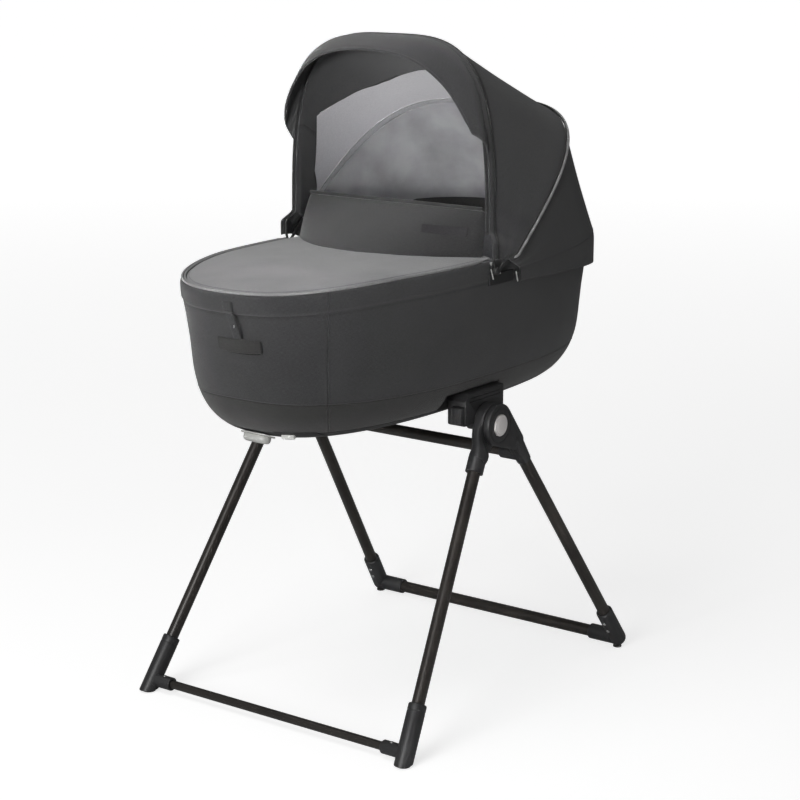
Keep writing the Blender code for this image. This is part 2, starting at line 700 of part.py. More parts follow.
def cut_recesses(shape):
    return cut(shape, *(recess(side, SOCKET_WALL + TOUCH) for side in SIDES.values()))


def adapter_socket(side):
    """Moulded liner of the recess, trimmed to the cot's skin."""
    shell = cut(recess(side, SOCKET_WALL, BOTTOM_Z + 0.003), recess(side, 0.0))
    levels = [BOTTOM_Z + rise for rise in (0.001, 0.006, 0.016, 0.026, 0.036, 0.046, 0.056)]
    return combine(shell, loft([cot_ring(z, -0.0006) for z in levels]), "INTERSECT")


def base_tray():
    """Moulded plastic shell under the cot, with an upstand inside the fabric."""
    step = FABRIC + 0.0005
    bottom = [(z, 0.0) for z in (*SHELL_LEVELS, SHELL_TOP_Z)]
    upstand = [(z, -step) for z in (SHELL_TOP_Z, *BAND_LEVELS, TRAY_MIDDLE_Z, TRAY_UPSTAND_Z)]
    floor = BOTTOM_Z + TRAY_WALL
    inside = [TRAY_UPSTAND_Z, TRAY_MIDDLE_Z, *reversed(BAND_LEVELS), SHELL_TOP_Z, SHELL_LEVELS[-1], floor + 0.002, floor]
    rings = bottom + upstand + [(z, -step - TRAY_WALL) for z in inside]
    return cut(cut_recesses(loft([cot_ring(z, outset) for z, outset in rings])), knob_bore())


def lower_band():
    levels = [SHELL_TOP_Z + 0.0005, *BAND_LEVELS[:-1], BAND_TOP_Z - TOUCH]
    return cut_recesses(wall([(z, 0.0) for z in levels], FABRIC))


def side_fabric():
    heights = [BAND_TOP_Z, TRAY_MIDDLE_Z, TRAY_UPSTAND_Z, FABRIC_MIDDLE_Z]
    heights += [COLLAR_Z + COLLAR_HEIGHT * share for share, bulge in COLLAR_SHAPE]
    return wall([(z, collar(z)) for z in heights], FABRIC)


def rim_frame():
    levels = [(RIM_Z - RIM_FRAME_HEIGHT, 0.0), (RIM_Z - TOUCH, 0.0)]
    return wall(levels, RIM_FRAME_WIDTH, FABRIC + TOUCH)


def liner():
    return wall([(z, 0.0) for z in LINER_LEVELS], FABRIC, FABRIC + 2 * TOUCH + RIM_FRAME_WIDTH)


BOARD_Z = BOTTOM_Z + TRAY_WALL + TOUCH
MATTRESS_Z = BOARD_Z + BOARD + TOUCH


def half_board(end):
    """Foot or head half of the bed board, cut square at the backrest hinge."""
    rings = [flat_ring(BOARD_HALF_WIDTH, BOARD_FOOT_REACH, BOARD_HEAD_REACH, z) for z in (BOARD_Z, BOARD_Z + BOARD)]
    far = -end * 0.6
    low_y, high_y = sorted((end * BOARD_GAP, far))
    return cut(loft(rings), box((-0.3, low_y, BOARD_Z - 0.01), (0.3, high_y, BOARD_Z + BOARD + 0.01)))


def mattress():
    rounding = [(0.0, MATTRESS_EDGE), (0.006, 0.0), (MATTRESS - 0.008, 0.0), (MATTRESS, MATTRESS_EDGE)]
    margins = [(rise, MATTRESS_MARGIN - inset) for rise, inset in rounding]
    return loft([flat_ring(BOARD_HALF_WIDTH + margin, BOARD_FOOT_REACH + MATTRESS_MARGIN + margin - 0.004,
                           BOARD_HEAD_REACH + MATTRESS_MARGIN + margin - 0.004, MATTRESS_Z + rise)
                 for rise, margin in margins])


def apron_top(x, y):
    """Height of the apron's upper face."""
    level = (abs(x) / RIM_HALF_WIDTH) ** FOOT_SQUARENESS + (abs(y) / RIM_FOOT_REACH) ** FOOT_SQUARENESS
    crown = APRON_CROWN * (1 - min(1.0, level))
    return dipped(x, y, RIM_Z).z + TOUCH + APRON + crown


def apron():
    """Padded cover over the foot half, crowned towards the wind flap."""
    columns, rows = 16, 10
    half, reach = RIM_HALF_WIDTH - APRON_INSET, RIM_FOOT_REACH - APRON_INSET
    upper, lower = [], []
    for i in range(rows + 1):
        y = -reach * math.sin(math.pi / 2 * i / rows) * 0.9995
        width = half * (1 - (abs(y) / reach) ** FOOT_SQUARENESS) ** (1 / FOOT_SQUARENESS)
        xs = [width * math.sin(math.pi / 2 * (2 * k / columns - 1)) for k in range(columns + 1)]
        upper.append([Vector((x, y, apron_top(x, y))) for x in xs])
        lower.append([Vector((x, y, apron_top(x, y) - APRON)) for x in xs])
    return sheet(upper, lower)


def tube_along(points, radius, sides=8):
    rings = []
    for i, point in enumerate(points):
        ahead = points[min(i + 1, len(points) - 1)]
        behind = points[max(i - 1, 0)]
        along = (ahead - behind).normalized()
        helper = Vector((0, 0, 1)) if abs(along.z) < 0.9 else Vector((1, 0, 0))
        first = along.cross(helper).normalized()
        second = along.cross(first).normalized()
        turns = [2 * math.pi * k / sides for k in range(sides)]
        rings.append([point + first * radius * math.cos(t) + second * radius * math.sin(t) for t in turns])
    return loft(rings)


def apron_piping():
    """Corded edge of the apron, lying on the rim round the foot half."""
    half, reach = RIM_HALF_WIDTH - PIPING_INSET, RIM_FOOT_REACH - PIPING_INSET
    start = math.asin(-PIPING_START_Y / reach)
    points = []
    steps = 36
    for i in range(steps + 1):
        angle = math.pi + start + (math.pi - 2 * start) * i / steps
        x, y = plan_point(angle, half, reach, 0)
        points.append(dipped(x, y, RIM_Z) + Vector((0, 0, TOUCH + PIPING_RADIUS)))
    return tube_along(points, PIPING_RADIUS)


def flap_column(share):
    """Base and top of the wind flap at a share of its half width."""
    x = FLAP_HALF_WIDTH * share
    y = FLAP_CORNER_Y - FLAP_BULGE * (1 - abs(share) ** FLAP_BULGE_POWER)
    base = Vector((x, y, apron_top(x, y) + 0.0006))
    return base, Vector((FLAP_TOP_HALF_WIDTH * share, FLAP_TOP_Y, FLAP_TOP_Z))


def wind_flap():
    outer, inner = [], []
    steps, rows = 20, 2
    for i in range(steps + 1):
        base, top = flap_column(2 * i / steps - 1)
        points = [base.lerp(top, k / rows) for k in range(rows + 1)]
        outer.append(points)
        inner.append([point + Vector((0, FABRIC, 0)) for point in points])
    return sheet(outer, inner)


# Hood
BRACKET_X = RIM_HALF_WIDTH + COLLAR_BULGE + TOUCH
FRONT_EYE_X = BRACKET_X + BRACKET_THICKNESS + TOUCH + BOW_THICKNESS / 2
MID_EYE_X = FRONT_EYE_X + BOW_THICKNESS + TOUCH
FRONT_ARCH = (FRONT_HALF_WIDTH, FRONT_HEIGHT, FRONT_SQUARENESS, math.radians(90), FRONT_EYE_X, FRONT_LEAN)
MID_ARCH = (MID_HALF_WIDTH, MID_HEIGHT, MID_SQUARENESS, MID_ELEVATION, MID_EYE_X, MID_LEAN)
VISOR_ARCH = (VISOR_HALF_WIDTH, VISOR_HEIGHT, VISOR_SQUARENESS, math.radians(90), FRONT_EYE_X, FRONT_LEAN)


def arch_point(arch, angle, offset=0.0, forward=0.0):
    """Point on an arch, offset outwards in its plane and moved forward square to it.

    Near its base an arch is cranked sideways, so that its bow meets its own eye on the hood's axis.
    """
    half_width, height, squareness, elevation, eye_x, lean = arch
    c, s = superellipse(angle, squareness)
    reach = (height + offset) * s
    share = min(1.0, max(0.0, (height * s - CRANK_START) / (CRANK_END - CRANK_START)))
    crank = 1 - share * share * (3 - 2 * share)
    x = (half_width + offset) * c + (eye_x + BOW_INSET - half_width) * crank * (1 if c > 0 else -1)
    forward += lean * crank
    along, rise = math.cos(elevation), math.sin(elevation)
    return Vector((x, ARCH_BASE_Y + reach * along - forward * rise, ARCH_BASE_Z + reach * rise + forward * along))


def hood_angles(first=0):
    """Stations round the hood, denser near its two ends, which are cranked."""
    near = [math.radians(angle) for angle in HOOD_STATIONS]
    middle = [math.pi / 2 + math.radians(HOOD_STATION_STEP) * (i - HOOD_STATION_COUNT / 2 + 0.5)
              for i in range(HOOD_STATION_COUNT)]
    stations = near + middle + [math.pi - angle for angle in reversed(near)]
    return stations[first:len(stations) - first]


def ruled(first, second, rows=HOOD_ROW_COUNT):
    return [first.lerp(second, k / rows) for k in range(rows + 1)]


def hem_turn(angle):
    """Place round the rim that belongs to a station of the hood."""
    start = math.radians(HOOD_STATIONS[0])
    return HEM_START + (math.pi - 2 * HEM_START) * (angle - start) / (math.pi - 2 * start)


def hem_point(angle, z, outset):
    """Point round the head end, at a level, stood off the rim."""
    x, y = plan_point(angle, RIM_HALF_WIDTH + outset, 0, RIM_HEAD_REACH + outset)
    return Vector((x, y, z))


def front_panel():
    def column(angle, offset):
        return ruled(arch_point(FRONT_ARCH, angle, offset, -TOUCH), arch_point(MID_ARCH, angle, offset, TOUCH))
    return sheet([column(a, 0.0) for a in hood_angles()], [column(a, -FABRIC) for a in hood_angles()])


def rear_panel():
    def column(angle, thickness):
        turn = hem_turn(angle)
        back = max(0.0, math.sin(turn)) ** 2
        edge = hem_point(turn, HEM_TOP_Z + HEM_TOP_RISE * back, HEM_OUTSET - thickness)
        foot = hem_point(turn, HEM_FRONT_Z - HEM_DROP * back, HEM_OUTSET - thickness)
        return ruled(arch_point(MID_ARCH, angle, -thickness, -TOUCH), edge) + [foot]
    return sheet([column(a, 0.0) for a in hood_angles()], [column(a, FABRIC) for a in hood_angles()])


def hood_lining():
    def column(angle, offset):
        front = arch_point(FRONT_ARCH, angle, offset, BAND_WIDTH)
        return [front] + ruled(arch_point(FRONT_ARCH, angle, offset), arch_point(MID_ARCH, angle, offset, TOUCH))
    angles = hood_angles(2)
    return sheet([column(a, -LINING_INSET) for a in angles], [column(a, -LINING_INSET - LINING) for a in angles])


def mesh_panel():
    """Net panel inside the rear of the hood, from the mid bow down to the rim."""
    def column(angle, thickness):
        top = arch_point(MID_ARCH, angle, -LINING_INSET - thickness, -TOUCH)
        return ruled(top, hem_point(hem_turn(angle), RIM_Z + 2 * TOUCH, -MESH_INSET - thickness))
    angles = hood_angles(2)
    return sheet([column(a, 0.0) for a in angles], [column(a, LINING) for a in angles])


def front_band():
    def column(angle, offset):
        return [arch_point(FRONT_ARCH, angle, offset, BAND_WIDTH), arch_point(FRONT_ARCH, angle, offset, TOUCH)]
    return sheet([column(a, 0.0) for a in hood_angles()], [column(a, -FABRIC) for a in hood_angles()])


def visor():
    """Peak that runs forward and down from the front band."""
    def column(angle, offset):
        share = math.sin((angle - VISOR_START) / (math.pi - 2 * VISOR_START) * math.pi)
        depth = VISOR_TIP + VISOR_DEPTH * max(0.0, share) ** 0.7
        return ruled(arch_point(FRONT_ARCH, angle, offset, BAND_WIDTH + TOUCH),
                     arch_point(VISOR_ARCH, angle, offset, depth), 3)
    angles = [VISOR_START + (math.pi - 2 * VISOR_START) * i / VISOR_COLUMNS for i in range(VISOR_COLUMNS + 1)]
    return sheet([column(a, 0.0) for a in angles], [column(a, -FABRIC) for a in angles])


def bow(arch, forward):
    """Flat spring bow in a hood channel, with an eye at each end."""
    eye_x = arch[4]
    rings = []
    for angle in hood_angles():
        corners = [(-1, -1), (1, -1), (1, 1), (-1, 1)]
        rings.append([arch_point(arch, angle, -BOW_INSET + out * BOW_THICKNESS / 2, forward + way * BOW_HALF_WIDTH)
                      for out, way in corners])
    for index, ring in ((0, rings[0]), (len(rings) + 1, rings[-1])):
        middle = sum(ring, Vector()) / 4
        shift = Vector((0, HOOD_AXIS_Y, HOOD_AXIS_Z)) - Vector((0, middle.y, middle.z))
        rings.insert(index, [point + shift for point in ring])
    shape = loft(rings)
    for side in SIDES.values():
        ends = [(side * (eye_x + half), HOOD_AXIS_Y, HOOD_AXIS_Z) for half in (-BOW_THICKNESS / 2, BOW_THICKNESS / 2)]
        shape = union(shape, rod(*ends, BOW_EYE_RADIUS))
        bore = [(side * (eye_x + reach), HOOD_AXIS_Y, HOOD_AXIS_Z) for reach in (-0.01, 0.01)]
        shape = cut(shape, rod(*bore, STUD_RADIUS + RUNNING, 16))
    return shape


def mid_piping():
    points = [arch_point(MID_ARCH, angle, PIPING_RADIUS + TOUCH) for angle in hood_angles(1)]
    return tube_along(points, PIPING_RADIUS)


def hood_bracket(side):
    """Plate on the cot's rim with the stud that both bows turn on, and three small bright pulls."""
    outer_x = BRACKET_X + BRACKET_THICKNESS
    shape = soften(side_box(side, BRACKET_X, outer_x, BRACKET_FRONT_Y, BRACKET_REAR_Y, BRACKET_LOW_Z,
                            BRACKET_HIGH_Z), 0.0012)
    end_x = MID_EYE_X + BOW_THICKNESS / 2 + TOUCH
    turns = [(BRACKET_X, outer_x, BRACKET_EAR_RADIUS), (outer_x - 0.001, end_x + 0.001, STUD_RADIUS),
             (end_x, end_x + STUD_HEAD_THICKNESS, STUD_HEAD_RADIUS)]
    for near, far, radius in turns:
        shape = union(shape, rod((side * near, HOOD_AXIS_Y, HOOD_AXIS_Z), (side * far, HOOD_AXIS_Y, HOOD_AXIS_Z),
                                 radius, 16))
    for y, z in PULL_PLACES:
        x = side * (outer_x + PULL_RADIUS * 0.7)
        shape = union(shape, rod((x, y, z - PULL_LENGTH / 2), (x, y, z + PULL_LENGTH / 2), PULL_RADIUS, 10))
    return shape


# Fittings at the foot end
def foot_skin(x, z, lift):
    """Point on the foot end's skin, at a place across and a level, lifted off it."""
    half_width, foot, head = section(z)
    outset = collar(z) + lift
    share = 1 - (abs(x) / (half_width + outset)) ** FOOT_SQUARENESS
    return dipped(x, -(foot + outset) * share ** (1 / FOOT_SQUARENESS), z)


def foot_strip(path, half_widths, lift, thickness):
    """Flat strip on the foot end's skin along a path of (x, z) points, with a half width at each."""
    rings = []
    for i, (x, z) in enumerate(path):
        ahead, behind = path[min(i + 1, len(path) - 1)], path[max(i - 1, 0)]
        run = Vector((ahead[0] - behind[0], ahead[1] - behind[1])).normalized()
        edge = Vector((-run.y, run.x)) * half_widths[i]
        shares = (-1, -0.5, 0, 0.5, 1)
        corners = [(way, lift) for way in shares] + [(way, lift + thickness) for way in reversed(shares)]
        rings.append([foot_skin(x + way * edge.x, z + way * edge.y, rise) for way, rise in corners])
    return loft(rings)


def line(start, end, steps):
    return [(start[0] + (end[0] - start[0]) * i / steps, start[1] + (end[1] - start[1]) * i / steps)
            for i in range(steps + 1)]


def foot_strap():
    """Sewn tab that runs on into the strap hanging from it."""
    start = (TAB_CENTRE_X + 0.001, TAB_LOW_Z - 0.004)
    tab = line((TAB_CENTRE_X, TAB_HIGH_Z), (TAB_CENTRE_X, TAB_LOW_Z), 4)
    strap = line(start, (STRAP_END_X, STRAP_END_Z), 6)
    widths = [TAB_HALF_WIDTH] * len(tab) + [STRAP_HALF_WIDTH] * len(strap)
    return foot_strip(tab + strap, widths, STRAP_LIFT, STRAP_THICKNESS)


def strap_hook():
    """Slender snap hook that hangs from the tab, its back edge on the strap."""
    widths = [HOOK_HALF_WIDTH * share for share in (0.35, 0.75, 1, 1, 0.75, 0.35)]
    return foot_strip(line(HOOK_START, HOOK_END, 5), widths, STRAP_LIFT + STRAP_THICKNESS + TOUCH, HOOK_THICKNESS)


def pocket_flap():
    middle = (POCKET_LOW_Z + POCKET_HIGH_Z) / 2
    path = line((POCKET_LEFT_X, middle), (POCKET_RIGHT_X, middle), 8)
    return foot_strip(path, [(POCKET_HIGH_Z - POCKET_LOW_Z) / 2] * len(path), STRAP_LIFT, STRAP_THICKNESS)


def knob_frame():
    """Seat of the knob on the tray's skin: a point, the outward normal and the way down the skin."""
    low, high = (foot_skin(0, KNOB_SEAT_Z + rise, 0) for rise in (-0.001, 0.001))
    down = (low - high).normalized()
    return (low + high) / 2, Vector((1, 0, 0)).cross(down).normalized(), down


def knob_ring(height, half_length, half_width):
    seat, normal, down = knob_frame()
    if normal.z > 0:
        normal = -normal
    ring = []
    for i in range(28):
        c, s = superellipse(2 * math.pi * i / 28, KNOB_SQUARENESS)
        ring.append(seat + normal * height + Vector((1, 0, 0)) * half_length * c + down * half_width * s)
    return ring


def knob_axis():
    seat, normal, down = knob_frame()
    return seat, (normal if normal.z < 0 else -normal)


KNOB_BASE = 0.0008 + KNOB_PLATE + TOUCH


def backrest_knob():
    """Oval turning knob with its shaft through the tray."""
    steps = [(KNOB_BASE, 0.001), (KNOB_BASE + 0.002, 0.0), (KNOB_BASE + KNOB_HEIGHT - 0.004, 0.0005),
             (KNOB_BASE + KNOB_HEIGHT - 0.001, 0.003), (KNOB_BASE + KNOB_HEIGHT, 0.007)]
    body = loft([knob_ring(height, KNOB_HALF_LENGTH - inset, KNOB_HALF_WIDTH - inset) for height, inset in steps])
    seat, normal = knob_axis()
    shaft = rod(seat + normal * (KNOB_BASE + 0.001), seat - normal * KNOB_SHAFT_LENGTH, KNOB_SHAFT_RADIUS, 16)
    return union(body, shaft)


def knob_bore():
    seat, normal = knob_axis()
    return rod(seat + normal * 0.02, seat - normal * 0.018, KNOB_SHAFT_RADIUS + RUNNING)


def knob_plate():
    half_length, half_width = KNOB_HALF_LENGTH + KNOB_PLATE_MARGIN, KNOB_HALF_WIDTH + 0.003
    plate = loft([knob_ring(height, half_length, half_width) for height in (0.0008, 0.0008 + KNOB_PLATE)])
    return cut(plate, knob_bore())


def vent_plate():
    path = line((VENT_START_X, VENT_LEVEL_Z), (VENT_END_X, VENT_LEVEL_Z), 8)
    return foot_strip(path, [VENT_HALF_HEIGHT] * len(path), VENT_LIFT, VENT_PLATE)


def slider_frame():
    """Place and direction of the vent slider, square to the skin."""
    near, far = (foot_skin(SLIDER_X + reach, VENT_LEVEL_Z, 0) for reach in (-0.002, 0.002))
    along = (far - near).normalized()
    low, high = (foot_skin(SLIDER_X, VENT_LEVEL_Z + rise, 0) for rise in (-0.002, 0.002))
    up = (high - low).normalized()
    out = along.cross(up).normalized()
    if out.y > 0:
        out = -out
    return foot_skin(SLIDER_X, VENT_LEVEL_Z, 0), along, up, out


def vent_slider():
    centre, along, up, out = slider_frame()
    base = (VENT_LIFT + VENT_PLATE) * math.hypot(out.x, out.y) + TOUCH
    rings = []
    for rise, inset in ((base, 0.0), (base + SLIDER_PROUD * 0.6, 0.0), (base + SLIDER_PROUD, 0.0015)):
        half_length, half_height = SLIDER_LENGTH / 2 - inset, SLIDER_HEIGHT / 2 - inset
        corners = ((-1, -1), (1, -1), (1, 1), (-1, 1))
        rings.append([centre + out * rise + along * a * half_length + up * b * half_height for a, b in corners])
    return loft(rings)


def build_cot(fabric, melange, lining, piping, plastic, grey, white, steel, foam, metal):
    cot = pivot("cot_slide", (0, PIVOT_Y, ADAPTER_TOP_Z))
    node("base_tray", base_tray(), plastic, cot)
    node("lower_band", lower_band(), fabric, cot)
    node("side_fabric", side_fabric(), fabric, cot)
    node("rim_frame", rim_frame(), metal, cot)
    node("liner", liner(), lining, cot)
    for word, side in SIDES.items():
        node(f"adapter_socket_{word}", adapter_socket(side), plastic, cot)
    node("base_board", half_board(-1), plastic, cot)
    rod_z = BOARD_Z + BOARD / 2
    rod_half = BOARD_HALF_WIDTH - 0.004
    node("backrest_hinge_rod", rod((-rod_half, 0, rod_z), (rod_half, 0, rod_z), BACKREST_ROD_RADIUS, 12), steel, cot)
    node("backrest_board", half_board(1), plastic, pivot("backrest_pivot", (0, 0, rod_z)))
    node("mattress", mattress(), foam, cot)
    node("apron", apron(), melange, cot)
    node("apron_piping", apron_piping(), piping, cot)
    node("foot_strap", foot_strap(), fabric, cot)
    node("strap_hook", strap_hook(), steel, cot)
    node("pocket_flap", pocket_flap(), fabric, cot)
    node("knob_plate", knob_plate(), grey, cot)
    node("vent_plate", vent_plate(), plastic, cot)
    seat, normal = knob_axis()
    node("backrest_knob", backrest_knob(), grey, pivot("backrest_knob_pivot", seat))
    node("vent_slider", vent_slider(), white, pivot("vent_slider_slide", slider_frame()[0]))
    flap_pivot = pivot("wind_flap_pivot", (0, FLAP_AXIS_Y, FLAP_AXIS_Z))
    node("wind_flap", wind_flap(), fabric, flap_pivot)
    batten_z = FLAP_TOP_Z + TOUCH + BATTEN_RADIUS
    batten = rod((-FLAP_TOP_HALF_WIDTH, FLAP_TOP_Y + FABRIC / 2, batten_z),
                 (FLAP_TOP_HALF_WIDTH, FLAP_TOP_Y + FABRIC / 2, batten_z), BATTEN_RADIUS, 12)
    node("flap_batten", batten, plastic, flap_pivot)


def build_hood(fabric, lining, net, piping, plastic, spring):
    for word, side in SIDES.items():
        node(f"hood_bracket_{word}", hood_bracket(side), plastic)
    node("hood_rear_panel", rear_panel(), fabric)
    node("hood_mesh_panel", mesh_panel(), net)
    mid = pivot("mid_bow_pivot", (0, HOOD_AXIS_Y, HOOD_AXIS_Z))
    node("mid_bow", bow(MID_ARCH, 0.0), spring, mid)
    node("mid_piping", mid_piping(), piping, mid)
    node("hood_front_panel", front_panel(), fabric, mid)
    node("hood_lining", hood_lining(), lining, mid)
    front = pivot("front_bow_pivot", (0, HOOD_AXIS_Y, HOOD_AXIS_Z))
    node("front_bow", bow(FRONT_ARCH, BOW_FORWARD), spring, front)
    node("front_band", front_band(), fabric, front)
    node("visor", visor(), fabric, front)


for old in list(bpy.data.objects):
    bpy.data.objects.remove(old)

charcoal_fabric = material("charcoal_fabric", (0.045, 0.045, 0.047), 0.85)
melange_fabric = material("melange_fabric", (0.22, 0.22, 0.225), 0.9)
lining_fabric = material("lining_fabric", (0.38, 0.38, 0.40), 0.85)
net_fabric = material("net_fabric", (0.16, 0.16, 0.175), 0.8)
piping_cord = material("piping_cord", (0.32, 0.32, 0.33), 0.5)
black_plastic = material("black_plastic", (0.022, 0.022, 0.023), 0.5)
bronze_paint = material("bronze_paint", (0.036, 0.032, 0.029), 0.35, 0.6)
warm_grey_plastic = material("warm_grey_plastic", (0.36, 0.33, 0.30), 0.4)
white_plastic = material("white_plastic", (0.75, 0.75, 0.72), 0.4)
bright_steel = material("bright_steel", (0.7, 0.7, 0.7), 0.2, 1.0)
spring_plastic = material("spring_plastic", (0.05, 0.05, 0.05), 0.6)
light_alloy = material("light_alloy", (0.5, 0.5, 0.5), 0.4, 1.0)
foam_pad = material("foam_pad", (0.7, 0.7, 0.68), 0.9)
foot_rubber = material("foot_rubber", (0.03, 0.03, 0.03), 0.8)

build_stand(black_plastic, bronze_paint, warm_grey_plastic, bright_steel, foot_rubber)
build_cot(charcoal_fabric, melange_fabric, lining_fabric, piping_cord, black_plastic, warm_grey_plastic,
          white_plastic, bright_steel, foam_pad, light_alloy)
build_hood(charcoal_fabric, lining_fabric, net_fabric, piping_cord, black_plastic, spring_plastic)
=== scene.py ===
"""Carrycot on a folding A-frame stand: the dressed model in a pale studio.

Metres, +Z up, the floor at z = 0, +X the cot's right-hand side, -Y its foot end, +Y its head end.
The sections follow the object as it is put together: the stand first, then the cot, then its hood.
"""
import math

import bmesh
import bpy
from mathutils import Matrix, Vector, noise as perlin


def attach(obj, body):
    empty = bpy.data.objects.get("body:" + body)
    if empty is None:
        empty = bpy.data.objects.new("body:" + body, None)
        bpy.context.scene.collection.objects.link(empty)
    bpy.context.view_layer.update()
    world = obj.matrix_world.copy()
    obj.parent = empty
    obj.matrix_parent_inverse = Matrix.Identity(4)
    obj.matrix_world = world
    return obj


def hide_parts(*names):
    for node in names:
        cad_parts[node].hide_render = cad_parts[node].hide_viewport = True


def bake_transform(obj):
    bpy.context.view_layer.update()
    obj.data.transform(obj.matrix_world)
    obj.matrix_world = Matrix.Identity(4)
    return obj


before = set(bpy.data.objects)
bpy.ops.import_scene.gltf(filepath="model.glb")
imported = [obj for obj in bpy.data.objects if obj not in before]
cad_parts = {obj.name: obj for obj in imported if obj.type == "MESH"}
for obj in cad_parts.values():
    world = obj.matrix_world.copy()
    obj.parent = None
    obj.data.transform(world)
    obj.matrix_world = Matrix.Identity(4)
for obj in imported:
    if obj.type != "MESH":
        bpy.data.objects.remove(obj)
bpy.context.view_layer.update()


# Studio
# A pale floor that runs on past the picture and glows a little towards the camera, an even white
# surround, and large soft lamps: the strongest stands square to the cot's foot end. Two narrow
# weak lamps lift the hood and the stand's right side.
CAMERA_PLACE = (2.09257, -2.84991, 1.35173)
CAMERA_AZIMUTH, CAMERA_ELEVATION, CAMERA_ROLL = 36.07, 13.48, 0.13
CAMERA_LENS = 91.93
FLOOR_REACH = 45.0
LAMPS = {
    "key_lamp": ((0.3, -4.35, 1.9), (0.0, 0.0, 0.90), 2.0, 100, 180),
    "top_lamp": ((-0.5, -1.9, 4.2), (0.0, -0.3, 0.8), 2.4, 44, 180),
    "hood_lamp": ((1.35, -3.8, 1.30), (-0.06, 0.05, 1.0), 0.6, 0.85, 12),
    "stand_lamp": ((3.0, -2.4, 0.20), (0.15, 0.1, 0.15), 0.6, 0.8, 12),
}
SURROUND_STRENGTH = 0.14
FLOOR_GLOW = ((1.2, 0.72), (7.0, 0.92))


def floor_paper():
    """White paper, lifted to a clean white where the camera sees it, and a little more far away."""
    made = bpy.data.materials.new("floor_paper")
    made.use_nodes = True
    tree = made.node_tree
    shader = tree.nodes["Principled BSDF"]
    shader.inputs["Base Color"].default_value = (0.55, 0.55, 0.55, 1)
    shader.inputs["Roughness"].default_value = 0.9
    shader.inputs["Emission Color"].default_value = (1, 1, 1, 1)
    place = tree.nodes.new("ShaderNodeTexCoord").outputs["Object"]
    reach = tree.nodes.new("ShaderNodeVectorMath")
    reach.operation = "LENGTH"
    tree.links.new(place, reach.inputs[0])
    glow = tree.nodes.new("ShaderNodeMapRange")
    tree.links.new(reach.outputs["Value"], glow.inputs["Value"])
    for word, (distance, strength) in zip(("Min", "Max"), FLOOR_GLOW):
        glow.inputs[f"From {word}"].default_value = distance
        glow.inputs[f"To {word}"].default_value = strength
    seen = tree.nodes.new("ShaderNodeLightPath").outputs["Is Camera Ray"]
    shown = tree.nodes.new("ShaderNodeMath")
    shown.operation = "MULTIPLY"
    tree.links.new(seen, shown.inputs[0])
    tree.links.new(glow.outputs["Result"], shown.inputs[1])
    tree.links.new(shown.outputs[0], shader.inputs["Emission Strength"])
    return made


floor_mesh = bpy.data.meshes.new("studio_floor")
floor_mesh.from_pydata([(-FLOOR_REACH, -FLOOR_REACH, 0), (FLOOR_REACH, -FLOOR_REACH, 0),
                        (FLOOR_REACH, FLOOR_REACH, 0), (-FLOOR_REACH, FLOOR_REACH, 0)], [], [(0, 1, 2, 3)])
floor_mesh.materials.append(floor_paper())
studio_floor = bpy.data.objects.new("studio_floor", floor_mesh)
bpy.context.scene.collection.objects.link(studio_floor)

camera_data = bpy.data.cameras.new("camera")
camera_data.lens = CAMERA_LENS
camera_data.sensor_width = 36.0
camera_data.clip_end = 200.0
camera = bpy.data.objects.new("camera", camera_data)
camera.matrix_world = (Matrix.Translation(CAMERA_PLACE)
                       @ Matrix.Rotation(math.radians(CAMERA_AZIMUTH), 4, "Z")
                       @ Matrix.Rotation(math.radians(90 - CAMERA_ELEVATION), 4, "X")
                       @ Matrix.Rotation(math.radians(CAMERA_ROLL), 4, "Z"))
bpy.context.scene.collection.objects.link(camera)
bpy.context.scene.camera = camera

for lamp_name, (place, target, size, power, spread) in LAMPS.items():
    lamp_data = bpy.data.lights.new(lamp_name, "AREA")
    lamp_data.size = size
    lamp_data.energy = power
    lamp_data.spread = math.radians(spread)
    lamp = bpy.data.objects.new(lamp_name, lamp_data)
    lamp.location = place
    lamp.rotation_euler = (Vector(target) - Vector(place)).to_track_quat("-Z", "Y").to_euler()
    bpy.context.scene.collection.objects.link(lamp)

surround = bpy.data.worlds.new("surround")
surround.use_nodes = True
surround.node_tree.nodes["Background"].inputs["Color"].default_value = (1, 1, 1, 1)
surround.node_tree.nodes["Background"].inputs["Strength"].default_value = SURROUND_STRENGTH
bpy.context.scene.world = surround
bpy.context.scene.view_settings.view_transform = "Standard"


# Leg tubes and cross tubes
# Round steel tubes with a brownish black paint that carries fine metal flakes. The four legs
# slope in towards the hinges; the cross tubes between the feet and under the hinges brace them.
PIVOT_Y, PIVOT_Z = -0.015, 0.497
FOOT_HALF_BASE, FOOT_HALF_TRACK, BAR_HEIGHT = 0.340, 0.27825, 0.019
LEG_LEAN = math.radians(6.43)
LEG_OFFSET = {-1: 0.0202, 1: 0.0269}
LEG_RADIUS, SLEEVE_RADIUS, TUBE_TOP = 0.011, 0.0155, 0.083
TUBE_PAST_CORNER, CROSS_TUBE_GAP = 0.0223, 0.0023
CROSS_TUBES = {"front_bar": (-1, 0.0074), "rear_bar": (1, 0.011)}
UPPER_BAR_RADIUS, UPPER_BAR_DROP = 0.0105, 0.0984
SIDES = {"right": 1, "left": -1}


def shader_group(name, inputs, outputs):
    """An empty node group with float or vector sockets; inputs carry their resting values."""
    tree = bpy.data.node_groups.new(name, "ShaderNodeTree")
    for label, value in inputs.items():
        kind = "NodeSocketVector" if isinstance(value, tuple) else "NodeSocketFloat"
        socket = tree.interface.new_socket(label, in_out="INPUT", socket_type=kind)
        if kind == "NodeSocketFloat":
            socket.default_value = value
    for label in outputs:
        tree.interface.new_socket(label, in_out="OUTPUT", socket_type="NodeSocketFloat")
    return tree, tree.nodes.new("NodeGroupInput"), tree.nodes.new("NodeGroupOutput")


